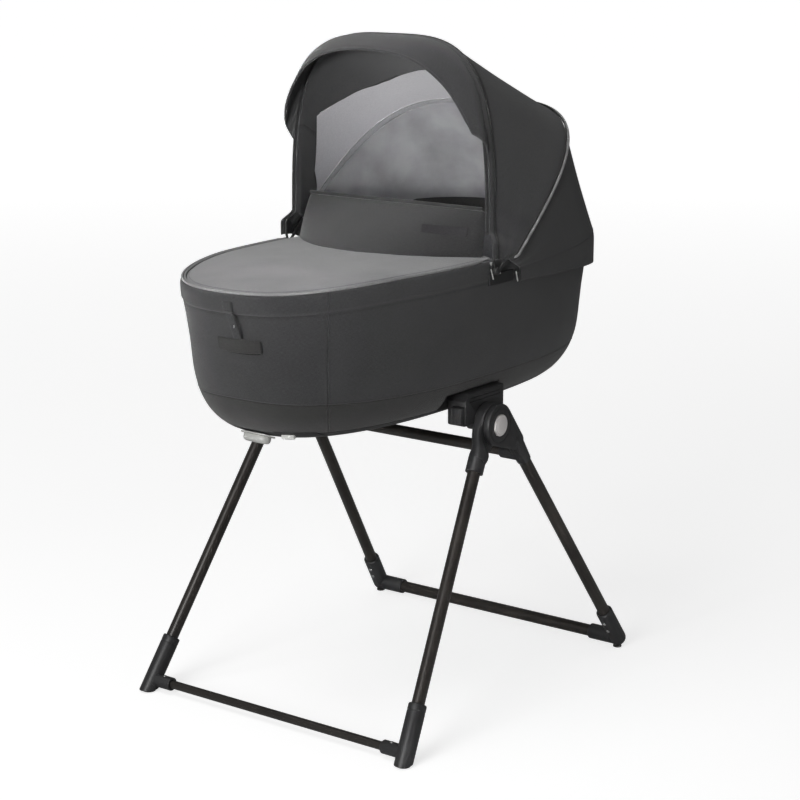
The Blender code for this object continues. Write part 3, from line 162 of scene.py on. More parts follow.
def wire(tree, kind, inputs=None, **settings):
    """Add a node, set its options and its inputs: a socket is linked, anything else is a value."""
    made = tree.nodes.new(kind)
    for name, value in settings.items():
        setattr(made, name, value)
    for key, value in (inputs or {}).items():
        if isinstance(value, bpy.types.NodeSocket):
            tree.links.new(value, made.inputs[key])
        else:
            made.inputs[key].default_value = value
    return made


def figure(tree, operation, first, second=0.0, third=0.0):
    """A Math node's output."""
    return wire(tree, "ShaderNodeMath", {0: first, 1: second, 2: third}, operation=operation).outputs[0]


def noise(tree, vector, scale, detail=3.0, roughness=0.5):
    return wire(tree, "ShaderNodeTexNoise", {"Vector": vector, "Scale": scale, "Detail": detail,
                                             "Roughness": roughness}).outputs["Fac"]


def handled_surface():
    """Soft large clouds of tone and fine scuffs, as on any handled surface."""
    tree, given, result = shader_group("handled_surface", {"Vector": (0, 0, 0), "Cloud Size": 0.05,
                                                           "Scuff Size": 0.002}, ("Cloud", "Scuff"))
    cloud = noise(tree, given.outputs["Vector"], figure(tree, "DIVIDE", 1.0, given.outputs["Cloud Size"]))
    scuff = noise(tree, given.outputs["Vector"], figure(tree, "DIVIDE", 1.0, given.outputs["Scuff Size"]), 5,
                  0.7)
    tree.links.new(cloud, result.inputs["Cloud"])
    tree.links.new(scuff, result.inputs["Scuff"])
    return tree


def finish(name, colour, roughness, metallic=0.0):
    """A material with its Principled shader, and the Object coordinates that its patterns read."""
    made = bpy.data.materials.new(name)
    made.use_nodes = True
    tree = made.node_tree
    shader = tree.nodes["Principled BSDF"]
    shader.inputs["Base Color"].default_value = (*colour, 1)
    shader.inputs["Roughness"].default_value = roughness
    shader.inputs["Metallic"].default_value = metallic
    place = tree.nodes.new("ShaderNodeTexCoord").outputs["Object"]
    return made, tree, shader, place


def grouped(tree, group, inputs):
    node = tree.nodes.new("ShaderNodeGroup")
    node.node_tree = group
    for key, value in inputs.items():
        if isinstance(value, bpy.types.NodeSocket):
            tree.links.new(value, node.inputs[key])
        else:
            node.inputs[key].default_value = value
    return node.outputs


def ramp(tree, value, low, high, from_low=0.0, from_high=1.0):
    """The value moved from one range to another, clamped."""
    return wire(tree, "ShaderNodeMapRange", {"Value": value, "From Min": from_low, "From Max": from_high,
                                             "To Min": low, "To Max": high}).outputs["Result"]


def shades(tree, value, dark, light):
    """A colour between two, by a value from 0 to 1."""
    return wire(tree, "ShaderNodeMix", {0: value, 6: (*dark, 1), 7: (*light, 1)},
                data_type="RGBA").outputs[2]


def bumped(tree, shader, height, strength, distance):
    bump = wire(tree, "ShaderNodeBump", {"Height": height, "Strength": strength, "Distance": distance})
    tree.links.new(bump.outputs["Normal"], shader.inputs["Normal"])
    return bump


HANDLED = handled_surface()


def rubbed_finish(name, colour, roughness, sizes, tones, gloss, dent, metallic=0.0, tone="Cloud"):
    """A plain finish: clouds or scuffs of tone, the other of the two in its gloss, and fine dents."""
    made, tree, shader, place = finish(name, colour, roughness, metallic)
    worn = grouped(tree, HANDLED, {"Vector": place, "Cloud Size": sizes[0], "Scuff Size": sizes[1]})
    tree.links.new(shades(tree, worn[tone], *tones), shader.inputs["Base Color"])
    other = worn["Scuff" if tone == "Cloud" else "Cloud"]
    tree.links.new(ramp(tree, other, *gloss, 0.3, 0.7), shader.inputs["Roughness"])
    if dent:
        bumped(tree, shader, worn["Scuff"], *dent)
    return made


def leg_paint():
    made, tree, shader, place = finish("bronze_leg_paint", (0.04, 0.034, 0.03), 0.35, 0.35)
    worn = grouped(tree, HANDLED, {"Vector": place, "Cloud Size": 0.06, "Scuff Size": 0.0016})
    flakes = wire(tree, "ShaderNodeTexVoronoi", {"Vector": place, "Scale": 2600.0},
                  feature="F1").outputs["Color"]
    flake = wire(tree, "ShaderNodeSeparateColor", {0: flakes}).outputs[0]
    sparkle = figure(tree, "GREATER_THAN", flake, 0.90)
    tone = figure(tree, "MULTIPLY_ADD", sparkle, 0.35, ramp(tree, worn["Cloud"], 0.0, 0.5, 0.3, 0.7))
    tree.links.new(shades(tree, tone, (0.022, 0.0195, 0.0175), (0.060, 0.053, 0.047)),
                   shader.inputs["Base Color"])
    tree.links.new(ramp(tree, worn["Scuff"], 0.27, 0.42, 0.3, 0.7), shader.inputs["Roughness"])
    bumped(tree, shader, flake, 0.06, 0.0002)
    shader.inputs["Coat Weight"].default_value = 0.25
    shader.inputs["Coat Roughness"].default_value = 0.2
    return made


BRONZE_PAINT = leg_paint()


def leg_line(end):
    """Side view of a leg: its foot point, its direction upwards and its point nearest the pivot."""
    foot = Vector((end * FOOT_HALF_BASE, BAR_HEIGHT))
    reach = Vector((PIVOT_Y, PIVOT_Z)) - foot
    turn = math.atan2(reach.y, reach.x) - end * math.asin(LEG_OFFSET[end] / reach.length)
    direction = Vector((math.cos(turn), math.sin(turn)))
    return foot, direction, foot + direction * math.sqrt(reach.length ** 2 - LEG_OFFSET[end] ** 2)


def leg_point(side, end, drop):
    _, direction, nearest = leg_line(end)
    y, z = nearest - direction * drop
    return Vector((side * (FOOT_HALF_TRACK - (z - BAR_HEIGHT) * math.tan(LEG_LEAN)), y, z))


def foot_drop(end, height=BAR_HEIGHT):
    _, direction, nearest = leg_line(end)
    return (nearest.y - height) / direction.y


def geometry_tree(name, inputs):
    """An empty Geometry Nodes tree with named inputs; the keys are labels, the values socket kinds."""
    tree = bpy.data.node_groups.new(name, "GeometryNodeTree")
    tree.interface.new_socket("Geometry", in_out="INPUT", socket_type="NodeSocketGeometry")
    for label, kind in inputs.items():
        tree.interface.new_socket(label, in_out="INPUT", socket_type=kind)
    tree.interface.new_socket("Geometry", in_out="OUTPUT", socket_type="NodeSocketGeometry")
    return tree, tree.nodes.new("NodeGroupInput").outputs, tree.nodes.new("NodeGroupOutput").inputs


def tube_maker():
    """A round tube from one point to another."""
    tree, given, result = geometry_tree("tube_between_points", {
        "Start": "NodeSocketVector", "End": "NodeSocketVector", "Radius": "NodeSocketFloat",
        "Material": "NodeSocketMaterial"})
    line = wire(tree, "GeometryNodeCurvePrimitiveLine", {"Start": given["Start"], "End": given["End"]})
    spread = wire(tree, "GeometryNodeResampleCurve", {"Curve": line.outputs[0], "Count": 12})
    ring = wire(tree, "GeometryNodeCurvePrimitiveCircle", {"Resolution": 48, "Radius": given["Radius"]})
    tube = wire(tree, "GeometryNodeCurveToMesh", {"Curve": spread.outputs[0],
                                                  "Profile Curve": ring.outputs[0], "Fill Caps": True})
    smooth = wire(tree, "GeometryNodeSetShadeSmooth", {0: tube.outputs[0]})
    real = wire(tree, "GeometryNodeRealizeInstances", {0: smooth.outputs[0]})
    painted = wire(tree, "GeometryNodeSetMaterial", {"Geometry": real.outputs[0],
                                                     "Material": given["Material"]})
    tree.links.new(painted.outputs[0], result["Geometry"])
    return tree


def grown(name, tree, inputs, start=None):
    """The plain mesh that a Geometry Nodes tree makes from its named inputs and a starting mesh."""
    holder = bpy.data.objects.new(name, start or bpy.data.meshes.new(name))
    bpy.context.scene.collection.objects.link(holder)
    modifier = holder.modifiers.new(tree.name, "NODES")
    modifier.node_group = tree
    for item in tree.interface.items_tree:
        if item.item_type == "SOCKET" and item.in_out == "INPUT" and item.name in inputs:
            modifier[item.identifier] = inputs[item.name]
    holder.data.update()
    graph = bpy.context.evaluated_depsgraph_get()
    made = bpy.data.objects.new(name, bpy.data.meshes.new_from_object(holder.evaluated_get(graph)))
    bpy.data.objects.remove(holder)
    made.data.name = made.name = name
    bpy.context.scene.collection.objects.link(made)
    return made


def carried(piece, body, *replaced):
    """The piece may stand for CAD nodes, and rides on a body when one is given."""
    if replaced:
        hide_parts(*replaced)
    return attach(piece, body) if body else piece


TUBE = tube_maker()
for word, side in SIDES.items():
    for frame_word, end, body in (("rear", 1, "rear_frame"), ("front", -1, "front_frame")):
        top, bottom = leg_point(side, end, TUBE_TOP), leg_point(side, end, foot_drop(end) - TUBE_PAST_CORNER)
        tube = grown(f"{frame_word}_leg_tube_{word}", TUBE, {"Start": top, "End": bottom,
                                                             "Radius": LEG_RADIUS, "Material": BRONZE_PAINT})
        carried(tube, body, f"{frame_word}_leg_{word}")
for name, (end, radius) in CROSS_TUBES.items():
    reach = leg_point(1, end, foot_drop(end)) - Vector((SLEEVE_RADIUS + CROSS_TUBE_GAP, 0, 0))
    tube = grown(f"{name}_tube", TUBE, {"Start": reach * Vector((-1, 1, 1)), "End": reach, "Radius": radius,
                                        "Material": BRONZE_PAINT})
    carried(tube, "front_frame" if end < 0 else "rear_frame", name)
reach = leg_point(1, 1, UPPER_BAR_DROP) - Vector((SLEEVE_RADIUS + CROSS_TUBE_GAP, 0, 0))
tube = grown("upper_bar_tube", TUBE, {"Start": reach * Vector((-1, 1, 1)), "End": reach,
                                      "Radius": UPPER_BAR_RADIUS, "Material": BRONZE_PAINT})
carried(tube, "rear_frame", "upper_bar")


# Foot caps, their rivets and screws, and the floor pads
# Black nylon mouldings pushed over the leg ends. The front ones are long sleeves cut level at the
# floor, with a short socket for the thin bar; the rear ones are elbows riveted to the leg.
PAD_HEIGHT = 0.004
PAD_RADIUS = {-1: 0.012, 1: 0.008}
CAP_LENGTH = {-1: 0.0815, 1: 0.075}
SOCKET_LENGTH, SOCKET_RADIUS = {-1: 0.046, 1: 0.058}, {-1: 0.0118, 1: 0.0145}
SOCKET_BORE = {-1: 0.0077, 1: 0.0113}
CAP_LIP = [(0, 0.0136), (0.0006, 0.0147), (0.0016, 0.0153), (0.003, 0.0155)]
CAP_GROOVE = [(0.0115, 0.0155), (0.0120, 0.0150), (0.0128, 0.0150), (0.0133, 0.0155), (0.14, 0.0155)]
RIVET_RADIUS, RIVET_HEIGHT, RIVET_DROPS = 0.0034, 0.0013, (0.022, 0.042)


def moulded_grain():
    """Fine leathery spark-erosion texture of a plastics mould."""
    tree, given, result = shader_group("moulded_grain", {"Vector": (0, 0, 0), "Grain Size": 0.0005},
                                       ("Height",))
    scale = figure(tree, "DIVIDE", 1.0, given.outputs["Grain Size"])
    cells = wire(tree, "ShaderNodeTexVoronoi", {"Vector": given.outputs["Vector"], "Scale": scale},
                 feature="SMOOTH_F1").outputs["Distance"]
    fine = noise(tree, given.outputs["Vector"], figure(tree, "MULTIPLY", scale, 2.3), 2)
    tree.links.new(figure(tree, "MULTIPLY_ADD", fine, 0.5, cells), result.inputs["Height"])
    return tree


GRAIN = moulded_grain()


def moulded_plastic(name, dark, light, roughness, grain_size=0.0005, grain=0.25):
    made, tree, shader, place = finish(name, light, roughness)
    worn = grouped(tree, HANDLED, {"Vector": place, "Cloud Size": 0.03, "Scuff Size": 0.0012})
    edge = wire(tree, "ShaderNodeAttribute", attribute_name="worn_edge").outputs["Fac"]
    tone = ramp(tree, worn["Cloud"], 0.1, 0.55, 0.3, 0.7)
    rubbed = figure(tree, "MULTIPLY_ADD", edge, ramp(tree, worn["Scuff"], 0.0, 0.55, 0.4, 0.7), tone)
    tree.links.new(shades(tree, rubbed, dark, light), shader.inputs["Base Color"])
    dull = ramp(tree, worn["Scuff"], roughness - 0.05, roughness + 0.08, 0.3, 0.7)
    smooth = figure(tree, "MULTIPLY_ADD", edge, -0.10, dull)
    tree.links.new(smooth, shader.inputs["Roughness"])
    height = grouped(tree, GRAIN, {"Vector": place, "Grain Size": grain_size})["Height"]
    bumped(tree, shader, height, grain, 0.00012)
    return made


BLACK_PLASTIC = moulded_plastic("black_moulding", (0.017, 0.017, 0.018), (0.042, 0.042, 0.043), 0.42)
STEEL = rubbed_finish("bright_steel", (0.75, 0.75, 0.74), 0.22, (0.004, 0.0004),
                      ((0.62, 0.62, 0.61), (0.84, 0.84, 0.83)), (0.16, 0.34), (0.05, 0.0001), 1.0)
RUBBER = rubbed_finish("pad_rubber", (0.03, 0.03, 0.03), 0.8, (0.01, 0.0008),
                       ((0.02, 0.02, 0.02), (0.06, 0.058, 0.055)), (0.7, 0.9), (0.3, 0.0003), tone="Scuff")


def loft(rings, closed=False):
    """Skin a list of equal rings. Open stacks get an end face at both ends."""
    shape = bmesh.new()
    rows = [[shape.verts.new(point) for point in ring] for ring in rings]
    pairs = list(zip(rows, rows[1:])) + ([(rows[-1], rows[0])] if closed else [])
    for low, high in pairs:
        for i in range(len(low)):
            k = (i + 1) % len(low)
            shape.faces.new((low[i], low[k], high[k], high[i]))
    if not closed:
        shape.faces.new(rows[0])
        shape.faces.new(rows[-1])
    bmesh.ops.recalc_face_normals(shape, faces=shape.faces)
    return shape


def unit(value):
    """The value held between 0 and 1."""
    return max(0.0, min(1.0, value))


def eased(share):
    """A share from 0 to 1 that starts and ends slowly."""
    return share * share * (3 - 2 * share)


def read_curve(points, place):
    """Height of a line through (place, height) points, nothing outside them."""
    for (low, first), (high, second) in zip(points, points[1:]):
        if low <= place <= high:
            return first + (second - first) * (place - low) / (high - low)
    return 0.0


def across(direction):
    helper = Vector((0, 0, 1)) if abs(direction.z) < 0.9 else Vector((1, 0, 0))
    first = direction.cross(helper).normalized()
    return first, direction.cross(first).normalized()


def circle(centre, direction, radius, sides=48):
    first, second = across(direction.normalized())
    turns = [2 * math.pi * i / sides for i in range(sides)]
    return [centre + first * radius * math.cos(t) + second * radius * math.sin(t) for t in turns]


def turned(start, end, profile, sides=48):
    """A turned shape: (distance along, radius) pairs between two points."""
    start, end = Vector(start), Vector(end)
    along = (end - start).normalized()
    return loft([circle(start + along * way, along, radius, sides) for way, radius in profile])


def rod(start, end, radius, sides=48, edge=0.0):
    """A round rod with rounded rims where edge is given."""
    length = (Vector(end) - Vector(start)).length
    if not edge:
        return turned(start, end, [(0, radius), (length, radius)], sides)
    rim = [(edge * (1 - math.cos(math.radians(t))), radius - edge * (1 - math.sin(math.radians(t))))
           for t in (0, 30, 60, 90)]
    return turned(start, end, rim + [(length - way, size) for way, size in reversed(rim)], sides)


def nosed_rod(start, end, radius, nose, end_radius):
    """A rod that starts in a rounded nose and narrows to its end."""
    dome = [(nose * (1 - math.cos(math.radians(t))), radius * math.sin(math.radians(t)))
            for t in (6, 18, 30, 45, 60, 75, 90)]
    return turned(start, end, dome + [((Vector(end) - Vector(start)).length, end_radius)])


def block(low, high, edge=0.0):
    """A box between two corners with rounded edges."""
    low, high = Vector(map(min, low, high)), Vector(map(max, low, high))
    shape = bmesh.new()
    bmesh.ops.create_cube(shape, size=1, matrix=Matrix.Translation((low + high) / 2)
                          @ Matrix.Diagonal((*(high - low), 1)))
    if edge:
        bmesh.ops.bevel(shape, geom=shape.edges[:], offset=edge, segments=4, profile=0.5, affect="EDGES")
    return shape


def combine(base, tool, operation):
    """Boolean of two shapes; both are used up."""
    holders = []
    for shape in (base, tool):
        mesh = bpy.data.meshes.new("shape")
        shape.to_mesh(mesh)
        shape.free()
        holders.append(bpy.data.objects.new("shape", mesh))
        bpy.context.scene.collection.objects.link(holders[-1])
    modifier = holders[0].modifiers.new("combine", "BOOLEAN")
    modifier.operation, modifier.object = operation, holders[1]
    made = bmesh.new()
    made.from_mesh(holders[0].evaluated_get(bpy.context.evaluated_depsgraph_get()).to_mesh())
    for holder in holders:
        mesh = holder.data
        bpy.data.objects.remove(holder)
        bpy.data.meshes.remove(mesh)
    return made


def united(*shapes):
    result = shapes[0]
    for shape in shapes[1:]:
        result = combine(result, shape, "UNION")
    return result


def cut(base, *tools):
    for tool in tools:
        base = combine(base, tool, "DIFFERENCE")
    return base


def piece(name, shape, material, body, replaced=(), bevel=0.0, slot=None, smooth=35, levels=0):
    """Make a shape an object: edges rounded, sharp ones kept crisp, worn edges marked, carried by a body."""
    mesh = bpy.data.meshes.new(name)
    shape.to_mesh(mesh)
    shape.free()
    made = bpy.data.objects.new(name, mesh)
    bpy.context.scene.collection.objects.link(made)
    if bevel:
        rounding = made.modifiers.new("rounding", "BEVEL")
        rounding.width, rounding.segments, rounding.limit_method = bevel, 3, "ANGLE"
        rounding.angle_limit, rounding.use_clamp_overlap = math.radians(38), True
        rounded = bpy.data.meshes.new_from_object(made.evaluated_get(bpy.context.evaluated_depsgraph_get()))
        made.modifiers.clear()
        made.data = rounded
        rounded.name = name
    made.data.shade_smooth()
    made.data.set_sharp_from_angle(angle=math.radians(smooth))
    edges = bmesh.new()
    edges.from_mesh(made.data)
    layer = edges.verts.layers.float.new("worn_edge")
    for vert in edges.verts:
        turns = [edge.calc_face_angle_signed(0.0) for edge in vert.link_edges]
        vert[layer] = unit((max(turns, default=0.0) - 0.12) / 0.5)
    edges.to_mesh(made.data)
    edges.free()
    made.data.materials.clear()
    made.data.materials.append(material)
    if levels:
        rounder = made.modifiers.new("rounder", "SUBSURF")
        rounder.levels = rounder.render_levels = levels
    carried(made, body, *replaced)
    return made


def leg_bore(side, end, top, bottom):
    return rod(leg_point(side, end, top), leg_point(side, end, bottom), LEG_RADIUS + 0.0003)


def floor_cut(corner):
    return block((corner.x - 0.1, corner.y - 0.1, -0.1), (corner.x + 0.1, corner.y + 0.1, PAD_HEIGHT))


def foot_cap(side, end):
    """A cap's sleeve on its leg and its socket for the cross tube; the rear sleeve ends in a ball."""
    drop = foot_drop(end)
    corner, top = leg_point(side, end, drop), drop - CAP_LENGTH[end]
    lip = leg_point(side, end, top)
    if end < 0:
        along = (lip - corner).normalized()
        parts = [turned(lip, lip - along * 0.14, CAP_LIP + CAP_GROOVE)]
    else:
        ball = bmesh.new()
        bmesh.ops.create_uvsphere(ball, u_segments=48, v_segments=24, radius=SLEEVE_RADIUS,
                                  matrix=Matrix.Translation(corner))
        parts = [turned(lip, corner, CAP_LIP + [((lip - corner).length, 0.0155)]), ball]
    stub_x = corner.x - side * SOCKET_LENGTH[end]
    parts.append(rod((stub_x, corner.y, corner.z), corner, SOCKET_RADIUS[end], edge=0.0012))
    bore_x = corner.x - side * (SLEEVE_RADIUS + 0.002)
    bore = rod((bore_x, corner.y, corner.z), (stub_x - side * 0.01, corner.y, corner.z), SOCKET_BORE[end])
    return cut(united(*parts), floor_cut(corner), leg_bore(side, end, top - 0.01, drop - 0.022), bore)


def repeated(tree, points, shape, material, result, turn=None):
    """The last nodes of a tree that repeats a shape at points."""
    copies = wire(tree, "GeometryNodeInstanceOnPoints", {"Points": points, "Instance": shape})
    if turn:
        tree.links.new(turn, copies.inputs["Rotation"])
    real = wire(tree, "GeometryNodeRealizeInstances", {0: copies.outputs[0]})
    smooth = wire(tree, "GeometryNodeSetShadeSmooth", {0: real.outputs[0]})
    made = wire(tree, "GeometryNodeSetMaterial", {"Geometry": smooth.outputs[0], "Material": material})
    tree.links.new(made.outputs[0], result["Geometry"])
    return tree


def rivet_maker():
    """Domed heads at the points of the starting mesh, each facing the way its point's normal says."""
    tree, given, result = geometry_tree("rivet_heads", {"Radius": "NodeSocketFloat",
                                                        "Height": "NodeSocketFloat",
                                                        "Material": "NodeSocketMaterial"})
    base = wire(tree, "GeometryNodeMeshUVSphere", {"Segments": 24, "Rings": 12, "Radius": given["Radius"]})
    flatness = figure(tree, "DIVIDE", given["Height"], given["Radius"])
    flat = wire(tree, "ShaderNodeCombineXYZ", {0: 1.0, 1: 1.0, 2: flatness})
    head = wire(tree, "GeometryNodeTransform", {"Geometry": base.outputs[0], "Scale": flat.outputs[0]})
    facing = wire(tree, "GeometryNodeInputNamedAttribute", {"Name": "facing"}, data_type="FLOAT_VECTOR")
    turn = wire(tree, "FunctionNodeAlignRotationToVector", {"Vector": facing.outputs[0]}, axis="Z")
    points = wire(tree, "GeometryNodeMeshToPoints", {"Mesh": given["Geometry"]})
    return repeated(tree, points.outputs[0], head.outputs[0], given["Material"], result, turn.outputs[0])


def facing_points(name, places):
    """A mesh of loose points, each with the direction it faces."""
    mesh = bpy.data.meshes.new(name)
    mesh.from_pydata([place for place, facing in places], [], [])
    facing = mesh.attributes.new("facing", "FLOAT_VECTOR", "POINT")
    facing.data.foreach_set("vector", [number for place, way in places for number in way])
    return mesh


RIVETS = rivet_maker()
rivets, screws = [], []
for word, side in SIDES.items():
    piece(f"front_cap_{word}", foot_cap(side, -1), BLACK_PLASTIC, "front_frame", (f"front_foot_{word}",),
          bevel=0.0005, slot="black_plastic")
    piece(f"rear_cap_{word}", foot_cap(side, 1), BLACK_PLASTIC, "rear_frame", (f"rear_foot_{word}",),
          bevel=0.0005, slot="black_plastic")
    along = (leg_point(side, 1, 0.2) - leg_point(side, 1, 0.1)).normalized()
    away = Vector((0, along.z, -along.y))
    for reach in RIVET_DROPS:
        centre = leg_point(side, 1, foot_drop(1) - CAP_LENGTH[1] + reach)
        rivets.append((centre + away * (SLEEVE_RADIUS - 0.0001), away))
    corner = leg_point(side, -1, foot_drop(-1))
    screws.append((corner + Vector((-side * SOCKET_LENGTH[-1] * 0.62, 0, SOCKET_RADIUS[-1] - 0.0001)),
                   (0, 0, 1)))
    for end, body in ((1, "rear_frame"), (-1, "front_frame")):
        centre = leg_point(side, end, foot_drop(end, PAD_HEIGHT if end < 0 else BAR_HEIGHT))
        place = Vector((centre.x, centre.y, 0))
        sole = rod(place, place + Vector((0, 0, PAD_HEIGHT - 0.0003)), PAD_RADIUS[end], edge=0.0008)
        frame_word = "rear" if end > 0 else "front"
        piece(f"{frame_word}_sole_{word}", sole, RUBBER, body, (f"{frame_word}_pad_{word}",),
              slot="foot_rubber")
heads = {"Radius": RIVET_RADIUS, "Height": RIVET_HEIGHT, "Material": STEEL}
carried(grown("rear_cap_rivets", RIVETS, heads, facing_points("rivets", rivets)), "rear_frame")
carried(grown("front_cap_screws", RIVETS, heads, facing_points("screws", screws)), "front_frame")


# Hinge halves, pivot pins and fold buttons
# Two glass-filled nylon plates on each side turn on a steel pin, each running out into the sleeve
# that takes its leg. The outer plate has a round well for the grey push button that folds the frame.
HINGE_RADIUS = 0.037
FRONT_PLATE = (0.208, 0.228)
REAR_PLATE = (0.2285, 0.2405)
NOSE_START, SLEEVE_START, SLEEVE_END = 0.040, 0.052, {-1: 0.096, 1: 0.114}
NECK_SECTIONS = ((0.0, 0.2083, 0.2277, 8), (0.012, 0.2083, 0.2277, 8), (0.024, 0.2083, 0.2278, 6),
                 (0.034, 0.2088, 0.2284, 5), (0.042, 0.2102, 0.2312, 4), (0.050, 0.2125, 0.2365, 3),
                 (0.058, 0.2147, 0.2425, 2.4), (0.0675, 0.2165, 0.2473, 2.05), (0.078, 0.2180, 0.2480, 2.0))
PIN_RADIUS, FOLD_ANGLE = 0.005, 1.117
BUTTON_RADIUS, BUTTON_WELL, BUTTON_OUT_X = 0.0196, 0.2315, 0.246
WARM_GREY = moulded_plastic("warm_grey_moulding", (0.62, 0.595, 0.585), (0.80, 0.77, 0.76), 0.38, 0.0004,
                            0.12)


def plate_outline(side, end, grow):
    """Outline in (y, z) round the pivot disc and the neck that runs to the sleeve."""
    centre = Vector((PIVOT_Y, PIVOT_Z))
    neck = leg_point(side, end, SLEEVE_START + SLEEVE_RADIUS).yz
    run = neck - centre
    heading, spread = math.atan2(run.y, run.x), math.acos((HINGE_RADIUS - SLEEVE_RADIUS) / run.length)
    turns = [(centre, HINGE_RADIUS + grow, heading + spread + (2 * math.pi - 2 * spread) * i / 40)
             for i in range(41)]
    turns += [(neck, SLEEVE_RADIUS + grow, heading - spread + 2 * spread * i / 12) for i in range(13)]
    return [(middle.x + radius * math.cos(turn), middle.y + radius * math.sin(turn))
            for middle, radius, turn in turns]


def plate(side, end, near, far, edge=0.003):
    """A hinge plate with rounded outer rims."""
    rim = [(edge * (1 - math.cos(math.radians(t))), -edge * (1 - math.sin(math.radians(t))))
           for t in (0, 22, 45, 68, 90)]
    levels = [(near + way, grow) for way, grow in rim] + [(far - way, grow) for way, grow in reversed(rim)]
    return loft([[Vector((side * x, y, z)) for y, z in plate_outline(side, end, grow)]
                 for x, grow in levels])


def pin_hole(side, near, far, radius=PIN_RADIUS + 0.0004):
    return rod((side * near, PIVOT_Y, PIVOT_Z), (side * far, PIVOT_Y, PIVOT_Z), radius)


def superellipse(angle, power):
    c, s = math.cos(angle), math.sin(angle)
    reach = (abs(c) ** power + abs(s) ** power) ** (-1 / power)
    return reach * c, reach * s


def front_neck(side):
    """The front plate's round end runs down and outwards into the sleeve."""
    pivot = Vector((PIVOT_Y, PIVOT_Z))
    run = leg_point(side, -1, SLEEVE_START + SLEEVE_RADIUS).yz - pivot
    ahead = run.normalized()
    beside, sine = Vector((-ahead.y, ahead.x)), (HINGE_RADIUS - SLEEVE_RADIUS) / run.length
    rings = []
    for way, low_x, high_x, power in NECK_SECTIONS:
        half = math.sqrt(HINGE_RADIUS ** 2 - way ** 2) if way < HINGE_RADIUS * sine else (
            HINGE_RADIUS - way * sine) / math.sqrt(1 - sine * sine)
        ring = [superellipse(2 * math.pi * k / 48, power) for k in range(48)]
        rings.append([Vector((side * ((low_x + high_x) / 2 + (high_x - low_x) / 2 * out),
                              *(pivot + ahead * way + beside * half * wide))) for wide, out in ring])
    return loft(rings)


def fold_relief(side):
    """The room that the rear plate takes beside the front half's neck when the frame is folded."""
    pivot, back = Vector((0, PIVOT_Y, PIVOT_Z)), Matrix.Rotation(-FOLD_ANGLE, 3, "X")
    return loft([[pivot + back @ (Vector((side * x, y, z)) - pivot)
                  for y, z in plate_outline(side, 1, 0.0006)]
                 for x in (REAR_PLATE[0] - 0.0003, REAR_PLATE[1] + 0.0003)])


def front_half(side):
    disc = rod((side * FRONT_PLATE[0], PIVOT_Y, PIVOT_Z), (side * FRONT_PLATE[1], PIVOT_Y, PIVOT_Z),
               HINGE_RADIUS, 96, 0.003)
    sleeve = nosed_rod(leg_point(side, -1, NOSE_START), leg_point(side, -1, SLEEVE_END[-1]), SLEEVE_RADIUS,
                       0.030, SLEEVE_RADIUS)
    return cut(united(disc, front_neck(side), sleeve), fold_relief(side),
               leg_bore(side, -1, TUBE_TOP - 0.0003, SLEEVE_END[-1] + 0.01),
               pin_hole(side, FRONT_PLATE[0] - 0.01, REAR_PLATE[0] + 0.01))


def rear_half(side):
    sleeve = nosed_rod(leg_point(side, 1, NOSE_START), leg_point(side, 1, SLEEVE_END[1]), SLEEVE_RADIUS,
                       0.032, 0.0129)
    bar = leg_point(side, 1, UPPER_BAR_DROP)
    stub_x = bar.x - side * (SLEEVE_RADIUS + 0.022)
    stub = rod((stub_x, bar.y, bar.z), bar, UPPER_BAR_RADIUS + 0.0035, edge=0.001)
    groove = cut(pin_hole(side, REAR_PLATE[1] - 0.0008, REAR_PLATE[1] + 0.01, HINGE_RADIUS - 0.0065),
                 pin_hole(side, REAR_PLATE[1] - 0.001, REAR_PLATE[1] + 0.02, HINGE_RADIUS - 0.0077))
    return cut(united(plate(side, 1, *REAR_PLATE), sleeve, stub), groove,
               rod((bar.x - side * (SLEEVE_RADIUS + 0.002), bar.y, bar.z),
                   (stub_x - side * 0.01, bar.y, bar.z), UPPER_BAR_RADIUS + 0.0003),
               leg_bore(side, 1, TUBE_TOP - 0.0003, SLEEVE_END[1] + 0.01),
               pin_hole(side, REAR_PLATE[0] - 0.01, REAR_PLATE[1] + 0.01),
               pin_hole(side, BUTTON_WELL, REAR_PLATE[1] + 0.01, BUTTON_RADIUS + 0.0004))


for word, side in SIDES.items():
    piece(f"front_hinge_half_{word}", front_half(side), BLACK_PLASTIC, "front_frame",
          (f"front_hinge_{word}",), bevel=0.0006, slot="black_plastic")
    piece(f"rear_hinge_half_{word}", rear_half(side), BLACK_PLASTIC, "rear_frame", (f"rear_hinge_{word}",),
          bevel=0.0006, slot="black_plastic")
    axis = [(side * x, PIVOT_Y, PIVOT_Z) for x in (0.182, 0.2312)]
    piece(f"hinge_pin_{word}", rod(*axis, PIN_RADIUS, edge=0.0008), STEEL, "rear_frame",
          (f"pivot_pin_{word}",), slot="bright_steel")
    low_x = BUTTON_WELL + 0.0045
    face = [(0, 0.0180), (0.0008, 0.0188), (0.0050, 0.0188), (0.0058, 0.0186), (0.0064, 0.0182),
            (0.0067, 0.0175), (0.0069, 0.0160), (0.0066, 0.0153), (0.0066, 0.0146), (0.0070, 0.0138),
            (0.0070, 0.0060), (0.0070, 0.0005)]
    disc = turned((side * low_x, PIVOT_Y, PIVOT_Z), (side * BUTTON_OUT_X, PIVOT_Y, PIVOT_Z), face, 72)
    piece(f"fold_button_disc_{word}", disc, WARM_GREY, f"fold_button_{word}", (f"fold_button_{word}",),
          slot="warm_grey_plastic")


